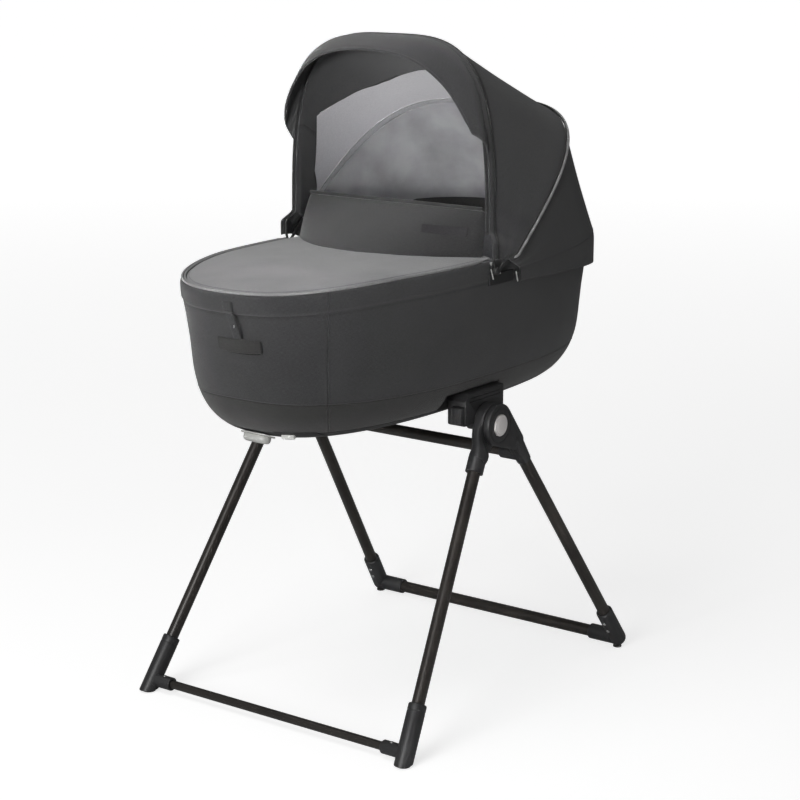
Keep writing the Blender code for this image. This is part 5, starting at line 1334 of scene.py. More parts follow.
def mattress_block():
    turns = [2 * math.pi * i / 120 for i in range(120)]
    rounding = [(0.0, MATTRESS_EDGE), (0.002, 0.003), (0.006, 0.0), (MATTRESS_HEIGHT - 0.010, 0.0),
                (MATTRESS_HEIGHT - 0.005, 0.003), (MATTRESS_HEIGHT - 0.003, MATTRESS_EDGE)]
    half, foot, head = MATTRESS_REACH
    return loft([[Vector((*plan_point(t, half - inset, foot - inset, head - inset), MATTRESS_Z + rise))
                  for t in turns] for rise, inset in rounding])


def puffed(name, shape, voxel, pressure, cap, floor_z):
    """The mesh of a pad after Blender's cloth has swollen it, no point moving further than the cap."""
    mesh = bpy.data.meshes.new(name)
    shape.to_mesh(mesh)
    shape.free()
    pad = bpy.data.objects.new(name, mesh)
    bpy.context.scene.collection.objects.link(pad)
    remesh = pad.modifiers.new("voxels", "REMESH")
    remesh.mode, remesh.voxel_size = "VOXEL", voxel
    even = bpy.data.meshes.new_from_object(pad.evaluated_get(bpy.context.evaluated_depsgraph_get()))
    pad.modifiers.clear()
    pad.data = even
    start = [vert.co.copy() for vert in even.vertices]
    cloth = pad.modifiers.new("swell", "CLOTH")
    cloth.settings.use_pressure = True
    cloth.settings.uniform_pressure_force = pressure
    cloth.settings.effector_weights.gravity = 0.0
    cloth.settings.quality = 5
    cloth.point_cache.frame_end = SWELL_FRAMES
    for number in range(1, SWELL_FRAMES + 1):
        bpy.context.scene.frame_set(number)
    swollen = bpy.data.meshes.new_from_object(pad.evaluated_get(bpy.context.evaluated_depsgraph_get()))
    pad.modifiers.clear()
    for vert, place in zip(swollen.vertices, start):
        move = vert.co - place
        if move.length > cap:
            vert.co = place + move * (cap / move.length)
        vert.co.z = max(vert.co.z, floor_z)
    pad.data = swollen
    bpy.context.scene.frame_set(1)
    made = bmesh.new()
    made.from_mesh(pad.data)
    bpy.data.objects.remove(pad)
    return made


LINING = woven("liner_weave", (0.20, 0.20, 0.21), (0.34, 0.34, 0.36), thread=0.0004, bump=0.2, sheen=0.15)
ALLOY = rubbed_finish("light_alloy", (0.55, 0.55, 0.56), 0.38, (0.02, 0.001),
                      ((0.46, 0.46, 0.47), (0.62, 0.62, 0.63)), (0.3, 0.5), (0.08, 0.0001), 1.0)


def mattress_cover():
    made, tree, shader, place = finish("mattress_cover", (0.74, 0.74, 0.72), 0.88)
    worn = grouped(tree, HANDLED, {"Vector": place, "Cloud Size": 0.06, "Scuff Size": 0.003})
    cells = wire(tree, "ShaderNodeTexVoronoi", {"Vector": place, "Scale": 900.0},
                 feature="SMOOTH_F1").outputs["Distance"]
    tree.links.new(shades(tree, worn["Cloud"], (0.66, 0.66, 0.64), (0.80, 0.80, 0.78)),
                   shader.inputs["Base Color"])
    tree.links.new(ramp(tree, worn["Scuff"], 0.8, 0.95, 0.3, 0.7), shader.inputs["Roughness"])
    bumped(tree, shader, figure(tree, "MULTIPLY_ADD", worn["Scuff"], 0.6, cells), 0.35, 0.0004)
    return made


piece("rim_hoop", alloy_hoop(), ALLOY, "cot", ("rim_frame",), slot="light_alloy")
liner_levels = [LINER_FOOT_Z + (RIM_Z - 0.002 - LINER_FOOT_Z) * i / 36 for i in range(37)]
liner_rows = [inner_wall(z, 0.0) for z in liner_levels], [inner_wall(z, -0.0015) for z in liner_levels]
sewn("liner_cloth", *([list(column) for column in zip(*rows)] for rows in liner_rows), LINING, "cot",
     ("liner",), "lining_fabric", True, "hung", ("rim_frame",), smooth=60)
for end, name, body, node in ((-1, "bed_board_foot", "cot", "base_board"),
                              (1, "bed_board_head", "backrest", "backrest_board")):
    piece(name, flat_board(end), TRAY_PLASTIC, body, (node,), slot="black_plastic")
hinge_z = BOARD_LEVEL_Z + BOARD_THICKNESS / 2
hinge_ends = [(side * (BOARD_HALF_WIDTH - 0.004), 0, hinge_z) for side in (-1, 1)]
piece("board_hinge_rod", rod(*hinge_ends, HINGE_ROD_RADIUS, 24, 0.0004), STEEL, "cot",
      ("backrest_hinge_rod",), slot="bright_steel")
mattress_pad = puffed("mattress_pad", mattress_block(), 0.006, 4.0, 0.004, MATTRESS_Z)
mattress_piece = piece("mattress_cover", mattress_pad, mattress_cover(), None, ("mattress",),
                       slot="foam_pad", smooth=180, levels=1)
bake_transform(mattress_piece)


# Apron and its corded edge
# A padded cover of pale melange cloth, zipped to the rim over the foot half. Two rows of light
# cord on a dark tape finish its edge, running back to the hood bracket on each side.
APRON_INSET, APRON_THICKNESS, APRON_CROWN = 0.0098, 0.0025, 0.009
EDGE_CORDS = {"outer": (0.0021, 0.0022), "inner": (0.0064, 0.0019)}
CORD_START_Y = -0.034


def apron_height(x, y):
    level = (abs(x) / RIM_HALF_WIDTH) ** FOOT_POWER + (abs(y) / RIM_FOOT) ** FOOT_POWER
    return dipped(x, y, RIM_Z).z + 0.0033 + APRON_CROWN * (1 - min(1.0, level))


def rim_path(inset, lift, steps=200):
    """Points on the rim round the foot half, from the left bracket to the right one."""
    start = math.asin(-CORD_START_Y / (RIM_FOOT - inset))
    turns = [math.pi + start + (math.pi - 2 * start) * i / steps for i in range(steps + 1)]
    return [dipped(*plan_point(turn, RIM_HALF_WIDTH - inset, RIM_FOOT - inset, 0), RIM_Z)
            + Vector((0, 0, lift)) for turn in turns]


def cord_shape(points, radius, sides=12, taper=0.0):
    """A round cord along points, its ends rounded, with thread coordinates round it and along it."""
    radii = [radius * min(1.0, max(0.35, (min(i, len(points) - 1 - i) + 0.3) * taper)) if taper else radius
             for i in range(len(points))]
    shape = bmesh.new()
    layer = shape.verts.layers.float_vector.new("thread")
    rows, run, helper = [], 0.0, None
    for i, point in enumerate(points):
        along = (points[min(i + 1, len(points) - 1)] - points[max(i - 1, 0)]).normalized()
        helper = across(along)[0] if helper is None else (helper - along * helper.dot(along)).normalized()
        other = along.cross(helper)
        run += (point - points[i - 1]).length if i else 0.0
        row = []
        for k in range(sides):
            turn = 2 * math.pi * k / sides
            row.append(shape.verts.new(point + (helper * math.cos(turn)
                                                + other * math.sin(turn)) * radii[i]))
            row[-1][layer] = (turn * radius, run, 0)
        rows.append(row)
    for near, far in zip(rows, rows[1:]):
        for k in range(sides):
            m = (k + 1) % sides
            shape.faces.new((near[k], near[m], far[m], far[k]))
    shape.faces.new(rows[0])
    shape.faces.new(rows[-1])
    bmesh.ops.recalc_face_normals(shape, faces=shape.faces)
    return shape


def apron_grids():
    half, reach = RIM_HALF_WIDTH - APRON_INSET, RIM_FOOT - APRON_INSET
    outer, inner = [], []
    for i in range(61):
        y = -reach * math.sin(math.pi / 2 * i / 60) * 0.9995
        width = half * (1 - (abs(y) / reach) ** FOOT_POWER) ** (1 / FOOT_POWER)
        upper, lower = [], []
        for k in range(91):
            x = width * math.sin(math.pi / 2 * (2 * k / 90 - 1))
            share = max(1e-6, ((abs(x) / half) ** FOOT_POWER
                               + (abs(y) / reach) ** FOOT_POWER) ** (1 / FOOT_POWER))
            to_edge = math.hypot(x, y) * (1 / share - 1)
            ease = 1 - math.exp(-to_edge / 0.02)
            height = apron_height(x, y) - 0.0016 * math.exp(-to_edge / 0.0045)
            height += ease * (0.0011 * soft(x, y, 0.0, 0.10) + 0.0006 * soft(x, y, 0.3, 0.035))
            upper.append(Vector((x, y, height)))
            lower.append(Vector((x, y, height - APRON_THICKNESS + 0.0006 * math.exp(-to_edge / 0.0045))))
        outer.append(upper)
        inner.append(lower)
    return outer, inner


MELANGE = woven("melange_felt", (0.105, 0.105, 0.109), (0.40, 0.40, 0.405), thread=0.0011, fleck=0.0045,
                contrast=0.20, bump=0.6, sheen=0.4)
CORD_CLOTH = woven("cord_binding", (0.17, 0.17, 0.172), (0.40, 0.40, 0.40), thread=0.0005, bump=0.4,
                   roughness=(0.55, 0.75))
sewn("apron_cover", *apron_grids(), MELANGE, "cot", ("apron",), "melange_fabric", rests_on=("rim_frame",),
     hem=0.0008)
for word, (inset, radius) in EDGE_CORDS.items():
    piece(f"apron_cord_{word}", cord_shape(rim_path(inset, radius + 0.0006), radius, taper=0.3), CORD_CLOTH,
          "cot", ("apron_piping",), slot="piping_cord", smooth=60)
tape_edges = [[rim_path(inset, lift, 160) for inset in (0.0012, 0.0042, 0.0085, 0.0122)]
              for lift in (0.0006, 0.0002)]
tape_grids = [[list(column) for column in zip(*edges)] for edges in tape_edges]
sewn("apron_tape", *tape_grids, BAND_CLOTH, "cot", ("apron_piping",), "charcoal_fabric", hem=0.0002,
     rests_on=("side_fabric",))
stitched("apron_stitches", rim_path(0.0124, 0.0041, 240), "cot", slot="charcoal_fabric")


# Tab, strap, hook and pocket at the foot end
# A webbing strap is sewn under a stitched tab on the collar and ends over a small pocket whose
# mouth gapes a little. A slender dark snap hook hangs from the tab beside the strap.
TAB = (0.016, 0.7655, 0.7485, 0.0095)
STRAP_PATH, STRAP_HALF_WIDTH = ((0.0170, 0.7440), (0.0275, 0.7035)), 0.0075
HOOK_TOP, HOOK_LOW = (0.0255, 0.7475), (0.0355, 0.7035)
POCKET_X, POCKET_TOP_Z, POCKET_MOUTH_Z = (-0.0135, 0.067), 0.7005, 0.6795
WEBBING = woven("strap_webbing", (0.034, 0.034, 0.036), (0.075, 0.075, 0.078), thread=0.0014, bump=0.7,
                sheen=0.1)
# Painted shade: a near-black cloth that stands for the shade inside the pocket's gaping mouth.
POCKET_MOUTH_SHADE = woven("pocket_slit_painted_shade", (0.002, 0.002, 0.002), (0.006, 0.006, 0.006), sheen=0.0)


def skin_strip(path, half_widths, lift, thickness, steps=10):
    """Grids of a cloth strip on the foot end along (x, z) points."""
    outer, inner = [], []
    ways = [-1 + 2 * k / steps for k in range(steps + 1)]
    for x, z, edge in half_across(path, half_widths):
        outer.append([foot_skin(x + way * edge.x, z + way * edge.y, lift + thickness * (1 - 0.3 * way ** 8))
                      for way in ways])
        inner.append([foot_skin(x + way * edge.x, z + way * edge.y, lift) for way in ways])
    return outer, inner


def pocket_grids():
    outer, inner = [], []
    for i in range(49):
        u = i / 48
        x = POCKET_X[0] + (POCKET_X[1] - POCKET_X[0]) * u
        corner = max(0.0, 1 - u / 0.09)
        mouth = POCKET_MOUTH_Z - 0.0012 * math.sin(math.pi * u) + 0.006 * corner ** 2
        gape = 0.0018 * math.sin(math.pi * min(1.0, u * 1.05)) ** 0.7
        levels = [POCKET_TOP_Z + (mouth - POCKET_TOP_Z) * k / 16 for k in range(17)]
        lifts = [0.0007 + gape * (k / 16) ** 3 for k in range(17)]
        outer.append([foot_skin(x, z, lift + 0.0018) for z, lift in zip(levels, lifts)])
        inner.append([foot_skin(x, z, lift) for z, lift in zip(levels, lifts)])
    return outer, inner


tab_x, tab_top, tab_low, tab_half = TAB
tab_line = straight((tab_x, tab_top), (tab_x, tab_low), 12)
sewn("sewn_tab", *skin_strip(tab_line, [tab_half] * 13, 0.0012, 0.0018),
     CHARCOAL, "cot", ("foot_strap",), "charcoal_fabric", hem=0.0007, rests_on=("side_fabric",))
strap_line = straight(*STRAP_PATH, 24)
sewn("strap_webbing", *skin_strip(strap_line, [STRAP_HALF_WIDTH] * 25, 0.0008, 0.0015), WEBBING, "cot",
     ("foot_strap",), "charcoal_fabric", hem=0.0005, rests_on=("side_fabric",), held="hung")
inset = 0.0016
corners = [(tab_x - tab_half + inset, tab_top - inset), (tab_x + tab_half - inset, tab_top - inset),
           (tab_x + tab_half - inset, tab_low + inset), (tab_x - tab_half + inset, tab_low + inset)]
square = [foot_skin(*place, 0.0031) for start, end in zip(corners, corners[1:] + corners[:1])
          for place in straight(start, end, 8)[:-1]]
stitched("tab_stitches", square, "cot", closed=True, Pitch=0.0022, Length=0.0018, Radius=0.00045)
sewn("pocket_cloth", *pocket_grids(), BAND_CLOTH, "cot", ("pocket_flap",), "charcoal_fabric", hem=0.0006,
     rests_on=("side_fabric",))
# A thin near-black strip along the pocket's mouth: painted shade of the gap under its lip.
mouth_line = straight((POCKET_X[0] + 0.0055, POCKET_MOUTH_Z - 0.0006),
                      (POCKET_X[1] - 0.003, POCKET_MOUTH_Z - 0.0014), 30)
mouth_widths = [0.0003 + 0.0024 * math.sin(math.pi * (i + 0.4) / 31) ** 0.6 for i in range(31)]
mouth = cloth_shape(*skin_strip(mouth_line, mouth_widths, 0.0004, 0.0005, 6), hem=0.0001)
piece("pocket_mouth_shade", mouth, POCKET_MOUTH_SHADE, "cot", ("pocket_flap",), slot="charcoal_fabric", smooth=50)
left_seam = [foot_skin(POCKET_X[0] + 0.0014, POCKET_TOP_Z - 0.0012 - 0.0155 * k / 10, 0.0028)
             for k in range(11)]
top_seam = [foot_skin(POCKET_X[0] + 0.0014 + 0.078 * k / 40, POCKET_TOP_Z - 0.0012, 0.0027)
            for k in range(41)]
stitched("pocket_stitches", list(reversed(left_seam)) + top_seam[1:], "cot", Radius=0.0004)

gate = straight(HOOK_TOP, HOOK_LOW, 24)
gate_widths = [0.0009 + 0.0016 * math.sin(math.pi * (i + 0.5) / 25) for i in range(25)]
piece("hook_body", strip_on_skin(gate, gate_widths, 0.0032, 0.0024), BLACK_PLASTIC, "cot", ("strap_hook",),
      slot="black_plastic", smooth=50)
bow_line = [foot_skin(HOOK_TOP[0] + (HOOK_LOW[0] - HOOK_TOP[0]) * t + 0.0052 * math.sin(math.pi * t) ** 0.8,
                      HOOK_TOP[1] + (HOOK_LOW[1] - HOOK_TOP[1]) * t, 0.0046)
            for t in (i / 40 for i in range(41))]
piece("hook_wire", cord_shape(bow_line, 0.0009, 10), BLACK_PLASTIC, "cot", ("strap_hook",),
      slot="black_plastic")
bead_place = foot_skin(0.0272, 0.7245, 0.0062)
bead = rod(bead_place + Vector((0, 0, -0.0024)), bead_place + Vector((0, 0, 0.0024)), 0.0011, 24, 0.0006)
piece("hook_rivet", bead, STEEL, "cot", ("strap_hook",), slot="bright_steel")


# Wind flap
# A charcoal panel rises from the apron's rear curve and closes the hood's mouth halfway. A thin
# batten in its top hem keeps it straight; a small woven patch on its right half is bare.
FLAP_HALF, FLAP_TOP_HALF, FLAP_CORNER_Y, FLAP_BULGE, FLAP_POWER = 0.197, 0.193, -0.015, 0.110, 2.2
FLAP_TOP = (0.0025, 0.8575)
BATTEN_PLACE, BATTEN_RADIUS, HEM_RADIUS = (0.00375, 0.861), 0.0022, 0.0034
PATCH_CORNERS = ((0.467, 0.652), (0.885, 0.626), (0.8935, 0.4236), (0.5137, 0.476))


def flap_point(share, rise, outset=0.0):
    """Point on the flap's front: share across from -1 to 1, rise from its foot seam to its top."""
    x, y = FLAP_HALF * share, FLAP_CORNER_Y - FLAP_BULGE * (1 - abs(share) ** FLAP_POWER)
    foot = Vector((x, y, apron_height(x, y) + 0.0008))
    place = foot.lerp(Vector((FLAP_TOP_HALF * share, *FLAP_TOP)), rise)
    fold = max(0.0, (abs(share) - 0.93) / 0.07) ** 2
    belly = (0.0035 * math.sin(math.pi * rise)
             + 0.0012 * soft(x, rise * 0.1, 0.7, 0.06) * math.sin(math.pi * rise))
    out = Vector((0, -1, 0.25 * (1 - rise))).normalized()
    corner = 0.0055 * max(0.0, (abs(share) - 0.945) / 0.055) ** 2 * rise ** 4
    folded = Vector((0, 0.011 * fold * rise ** 0.5, -0.0012 * fold * rise - corner))
    return place + out * (belly + outset) + folded


def thickened(grid, thickness, toward):
    """The grid's other face: every point moved along the local normal, to the side that toward gives."""
    columns, rows = len(grid), len(grid[0])
    made = []
    for i in range(columns):
        column = []
        for k in range(rows):
            run = grid[min(i + 1, columns - 1)][k] - grid[max(i - 1, 0)][k]
            rise = grid[i][min(k + 1, rows - 1)] - grid[i][max(k - 1, 0)]
            normal = run.cross(rise).normalized()
            column.append(grid[i][k] + normal * (thickness if normal.dot(toward(grid[i][k])) > 0
                                                 else -thickness))
        made.append(column)
    return made


def backwards(place):
    return Vector((-place.x * 2, 1, 0))


flap_shares = [math.sin(math.pi / 2 * (2 * i / 110 - 1)) for i in range(111)]
flap_grid = [[flap_point(share, k / 40) for k in range(41)] for share in flap_shares]
FLAP_CLOTH = woven("flap_weave", (0.018, 0.018, 0.0185), (0.033, 0.033, 0.0338), thread=0.0005, bump=0.22,
                   contrast=0.05)


def flexing(made):
    """A piece on the flap, its transform baked into its mesh."""
    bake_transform(made)
    return made


flexing(sewn("wind_flap_panel", flap_grid, thickened(flap_grid, FABRIC, backwards), FLAP_CLOTH, None,
             ("wind_flap",), "charcoal_fabric", rests_on=("apron",)))


def hem_sleeve():
    """A sewn tube round the batten, a little slack between its stitches."""
    rings = []
    for inner in (False, True):
        for i in range(81):
            share = i / 80 if not inner else 1 - i / 80
            x = (2 * share - 1) * (FLAP_TOP_HALF - 0.008)
            closing = 0.0006 * max(0.0, (abs(2 * share - 1) - 0.98) / 0.02)
            radius = 0.0025 if inner else HEM_RADIUS - closing + 0.00018 * soft(x, 0.2, 0.4, 0.012)
            rings.append(circle(Vector((x, *BATTEN_PLACE)), Vector((1, 0, 0)), radius, 20))
    return loft(rings, closed=True)


piece("flap_hem", hem_sleeve(), FLAP_CLOTH, "wind_flap", ("wind_flap",), slot="charcoal_fabric", smooth=60)
batten_ends = [(side * (FLAP_TOP_HALF - 0.0075), *BATTEN_PLACE) for side in (-1, 1)]
piece("batten_rod", rod(*batten_ends, BATTEN_RADIUS, 24, 0.0006), BLACK_PLASTIC, "wind_flap",
      ("flap_batten",), slot="black_plastic")
stitched("flap_top_stitches", [flap_point(share * 0.985, 0.955, 0.0002) for share in flap_shares],
         "wind_flap", slot="charcoal_fabric")
flexing(stitched("flap_foot_stitches", [flap_point(share * 0.985, 0.035, 0.0002) for share in flap_shares],
                 None, slot="charcoal_fabric"))


def patch_point(u, v, outset):
    (a, b), (c, d), (e, f), (g, h) = PATCH_CORNERS
    share = (a + (c - a) * u) * (1 - v) + (g + (e - g) * u) * v
    rise = (b + (d - b) * u) * (1 - v) + (h + (f - h) * u) * v
    return flap_point(share, rise, outset)


PATCH_CLOTH = woven("patch_satin", (0.021, 0.0205, 0.022), (0.041, 0.040, 0.043), thread=0.0003, bump=0.2,
                    roughness=(0.5, 0.62), sheen=0.0)
patch_grids = [[[patch_point(i / 30, k / 10, outset) for k in range(11)] for i in range(31)]
               for outset in (0.0010, 0.0003)]
flexing(sewn("bare_patch", *patch_grids, PATCH_CLOTH, None, ("wind_flap",), "charcoal_fabric", hem=0.0002,
             rests_on=("wind_flap",)))
patch_edge = [patch_point(u, v, 0.0011) for u, v in
              [(0.02 + 0.96 * i / 24, 0.09) for i in range(25)]
              + [(0.98, 0.09 + 0.82 * i / 6) for i in range(1, 7)]
              + [(0.98 - 0.96 * i / 24, 0.91) for i in range(1, 25)]
              + [(0.02, 0.91 - 0.82 * i / 6) for i in range(1, 6)]]
flexing(stitched("patch_stitches", patch_edge, None, closed=True, Pitch=0.0018, Length=0.0013,
                 Radius=0.00022))


# Hood brackets and zip pulls
# A black nylon plate on the rim at each side carries the stud that both hood bows turn on. The
# bright pulls of the apron's and the hood's zips hang beside it.
HOOD_AXIS = (-0.012, 0.762)
BRACKET_X, BRACKET_Y, BRACKET_Z, EAR_RADIUS = (0.2178, 0.2218), (-0.026, 0.046), (0.737, 0.757), 0.010
STUD_RADIUS, STUD_END_X, STUD_HEAD = 0.0025, 0.2299, (0.0045, 0.0016)
ZIP_PULLS = ((-0.0262, 0.7668, -0.0186, 0.7482, 0.0013), (-0.0034, 0.7650, 0.0028, 0.7552, 0.0016),
             (0.0512, 0.7525, 0.0572, 0.7345, 0.0015))
PULL_X, STOP_PLACE = 0.2240, (-0.0258, 0.7762)


def axis_rod(side, near, far, radius, sides=40, edge=0.0):
    return rod((side * near, *HOOD_AXIS), (side * far, *HOOD_AXIS), radius, sides, edge)


def bracket_shape(side):
    plate_shape = block((side * BRACKET_X[0], BRACKET_Y[0], BRACKET_Z[0]),
                        (side * BRACKET_X[1], BRACKET_Y[1], BRACKET_Z[1]), 0.0015)
    return united(plate_shape, axis_rod(side, *BRACKET_X, EAR_RADIUS, 48, 0.0006))


def stud_shape(side):
    radius, thick = STUD_HEAD
    dome = [(0, radius - 0.0004), (0.0003, radius), (0.0009, radius), (0.0013, radius - 0.0006),
            (thick, radius - 0.002)]
    head = turned((side * STUD_END_X, *HOOD_AXIS), (side * (STUD_END_X + thick), *HOOD_AXIS), dome, 40)
    return united(axis_rod(side, BRACKET_X[1] - 0.001, STUD_END_X + 0.001, STUD_RADIUS), head)


def pull_shape(side, top_y, top_z, low_y, low_z, half_width):
    """A flat zip pull: a bright tongue with a waist and an eye at its top."""
    top, low = Vector((side * PULL_X, top_y, top_z)), Vector((side * PULL_X, low_y, low_z))
    run = (low - top).normalized()
    broad = run.cross(Vector((1, 0, 0))).normalized()
    widths = [(0.0, 0.55), (0.05, 0.85), (0.15, 0.95), (0.3, 0.7), (0.5, 0.8), (0.8, 1.0), (0.95, 0.9),
              (1.0, 0.55)]
    rings = []
    for share, wide in widths:
        middle = top.lerp(low, share)
        ring = []
        for k in range(12):
            c, s = superellipse(2 * math.pi * k / 12, 3)
            ring.append(middle + broad * half_width * wide * c + Vector((0.0008 * s, 0, 0)))
        rings.append(ring)
    return loft(rings)


NICKEL = rubbed_finish("bright_nickel", (0.8, 0.8, 0.79), 0.42, (0.006, 0.0008),
                       ((0.62, 0.62, 0.61), (0.92, 0.92, 0.90)), (0.36, 0.52), None, 0.3)
BRACKET_PLASTIC = moulded_plastic("bracket_nylon", (0.020, 0.020, 0.021), (0.034, 0.034, 0.035), 0.7, 0.0006,
                                  0.1)
for word, side in SIDES.items():
    piece(f"hood_plate_{word}", bracket_shape(side), BRACKET_PLASTIC, "cot", (f"hood_bracket_{word}",),
          bevel=0.0004, slot="black_plastic")
    piece(f"hood_stud_{word}", stud_shape(side), BLACK_PLASTIC, "cot", (f"hood_bracket_{word}",),
          slot="black_plastic")
    for number, pull in enumerate(ZIP_PULLS):
        piece(f"zip_pull_{word}_{number + 1}", pull_shape(side, *pull), NICKEL, "cot",
              (f"hood_bracket_{word}",), slot="bright_steel")
        slider_y, slider_z = pull[0] - 0.001, pull[1] + 0.001
        slider = block((side * (PULL_X - 0.0018), slider_y - 0.0025, slider_z - 0.0035),
                       (side * (PULL_X - 0.0010), slider_y + 0.0025, slider_z + 0.0035), 0.0003)
        piece(f"zip_slider_{word}_{number + 1}", slider, BLACK_PLASTIC, "cot", (f"hood_bracket_{word}",),
              slot="black_plastic")
    stop_y, stop_z = STOP_PLACE
    stop = loft([[Vector((side * (PULL_X - 0.0012 + lift), stop_y + y * grow, stop_z + z * grow))
                  for y, z in ((-0.0036, 0.0024), (0.0036, 0.0024), (0.0008, -0.0040))]
                 for lift, grow in ((0, 0.9), (0.0003, 1.0), (0.0010, 1.0), (0.0013, 0.85))])
    piece(f"zip_stop_{word}", stop, NICKEL, "cot", (f"hood_bracket_{word}",), slot="bright_steel", smooth=30)


# Hood bows
# Two flat springy nylon bows stretch the hood. Their cranked ends carry round eyes that turn on
# the bracket studs, so that the whole hood folds back and together.
ARCHES = {  # half width, height, squareness, elevation, eye place across, forward lean of the foot
    "front": (0.214, 0.381, 3.6, math.radians(90.0), 0.2239, 0.013),
    "mid": (0.243, 0.390, 3.5, math.radians(39.8), 0.2278, 0.0046),
    "visor": (0.228, 0.360, 2.7, math.radians(90.0), 0.2239, 0.013),
}
ARCH_BASE_Z = 0.766
CRANKS = {"front": (0.040, 0.064), "mid": (0.010, 0.034), "visor": (0.040, 0.064)}
FIRST_TURN, LINING_FIRST_TURN = math.radians(2.6), math.radians(8.5)
BOW_INSET, BOW_HALF_THICK, BOW_HALF_WIDTH, BOW_EYE_RADIUS = 0.006, 0.0018, 0.0025, 0.0065
BOW_FORWARD = {"front": 0.0055, "mid": 0.0}


def arch_point(arch, angle, offset=0.0, forward=0.0):
    """Point on an arch, offset outwards in its plane and moved forward square to it."""
    half_width, height, squareness, elevation, eye_x, lean = ARCHES[arch]
    c, s = superellipse(angle, squareness)
    reach = (height + offset) * s
    crank_foot, crank_top = CRANKS[arch]
    crank = 1 - eased(unit((height * s - crank_foot) / (crank_top - crank_foot)))
    x = (half_width + offset) * c + (eye_x + BOW_INSET - half_width) * crank * (1 if c > 0 else -1)
    forward += lean * crank
    along, rise = math.cos(elevation), math.sin(elevation)
    return Vector((x, reach * along - forward * rise, ARCH_BASE_Z + reach * rise + forward * along))


def hood_turns(count, first=FIRST_TURN):
    """Stations from one end of an arch to the other, closer together near its feet."""
    return [math.pi / 2 - (math.pi / 2 - first) * math.cos(math.pi * i / count) for i in range(count + 1)]


def bow_shape(arch):
    eye_x = ARCHES[arch][4]
    section = [superellipse(2 * math.pi * k / 12, 4) for k in range(12)]
    rings = [[arch_point(arch, turn, -BOW_INSET + out * BOW_HALF_THICK,
                         BOW_FORWARD[arch] + way * BOW_HALF_WIDTH)
              for way, out in section] for turn in hood_turns(150)]
    for index, ring in ((0, rings[0]), (len(rings) + 1, rings[-1])):
        middle = sum(ring, Vector()) / len(ring)
        shift = Vector((0, *HOOD_AXIS)) - Vector((0, middle.y, middle.z))
        rings.insert(index, [point + shift for point in ring])
    shape = loft(rings)
    for side in SIDES.values():
        shape = united(shape, axis_rod(side, eye_x - BOW_HALF_THICK, eye_x + BOW_HALF_THICK, BOW_EYE_RADIUS,
                                       48, 0.0004))
        shape = cut(shape, axis_rod(side, eye_x - 0.01, eye_x + 0.01, STUD_RADIUS + 0.0004))
    return shape


SPRING_PLASTIC = moulded_plastic("spring_nylon", (0.030, 0.030, 0.030), (0.060, 0.060, 0.060), 0.48, 0.0006,
                                 0.15)
for arch in ("front", "mid"):
    piece(f"{arch}_bow_strip", bow_shape(arch), SPRING_PLASTIC, f"hood_{arch}", (f"{arch}_bow",),
          slot="spring_plastic", smooth=45)


# Hood panels, front band and visor
# The hood is one stretched canopy of charcoal cloth in sewn panels: a front panel between the
# bows, a rear panel down to a hem on the rim, a band that sleeves the front bow, and a peaked visor.
HEM_OUTSET, HEM_TOP, HEM_FOOT, HEM_START = 0.0105, (0.757, 0.027), (0.735, -0.030), math.radians(8)
BAND_DEPTH, PANEL_GAP, HOOD_SQUARENESS = 0.0152, 0.0003, 3.2
VISOR_FIRST, VISOR_TIP, VISOR_DEPTH, VISOR_CURL = math.radians(27), 0.050, 0.033, 0.857
FACING_GREY = ((0.026, 0.026, 0.027), (0.092, 0.092, 0.095))


def spanned(made, low_body, high_body, low, high):
    """Fabric between two bows, its transform baked into its mesh; the bodies and elevations given are not
    used.
    """
    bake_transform(made)
    return made


FRONT_SPAN = ("hood_mid", "hood_front", 39.8, 90.0)
REAR_SPAN = ("cot", "hood_mid", 0.0, 39.8)


def canopy(name, outer, inner, material, carrier, replaced, slot="charcoal_fabric", rests_on=(), hem=0.0006):
    """A hood panel that rides on one body; given two, it rides on none and its transform is baked."""
    body = carrier if isinstance(carrier, str) else None
    made = sewn(name, outer, inner, material, body, replaced, slot, rests_on=rests_on, hem=hem, smooth=70)
    return made if body else spanned(made, *carrier)


def drawn_in(angle, share, depth):
    """How far stretched cloth draws in between its two bows, with small folds fanned out from the feet."""
    height = max(0.0, math.sin(angle))
    span = 4 * share * (1 - share)
    fan = math.exp(-height / 0.16) * math.sin(share * 15 + 4 * height) * span
    wander = soft(math.cos(angle) * 0.25, share * 0.2, height * 0.3, 0.07)
    return -depth * span * height ** 0.6 + 0.0009 * fan + 0.0009 * wander * span


def between(first, second, count, bend):
    """A column of points from one to another, each moved by the bend at its share."""
    return [first.lerp(second, k / count) + bend(k / count) for k in range(count + 1)]


def outward(angle):
    """Direction that cloth is pushed in, out of the hood, at a station of its arches."""
    c, s = superellipse(angle, HOOD_SQUARENESS)
    return Vector((c, 0.35 * s, s)).normalized()


def turned_edge(share):
    """How far cloth turns in at its two sewn edges."""
    near = min(share, 1 - share)
    return -0.0007 * max(0.0, 1 - near / 0.012) ** 2


def front_column(angle, offset):
    return between(arch_point("front", angle, offset, -PANEL_GAP),
                   arch_point("mid", angle, offset, PANEL_GAP), 30,
                   lambda share: outward(angle) * (drawn_in(angle, share, 0.0032)
                                                   + (turned_edge(share) if offset == 0.0 else 0.0)))


def hem_turn(angle):
    return HEM_START + (math.pi - 2 * HEM_START) * (angle - FIRST_TURN) / (math.pi - 2 * FIRST_TURN)


def hem_point(turn, z, outset):
    return Vector((*plan_point(turn, RIM_HALF_WIDTH + outset, 0, RIM_HEAD + outset), z))


def rear_out(angle):
    c, s = superellipse(angle, HOOD_SQUARENESS)
    return Vector((c, s, 0.8 * s)).normalized()


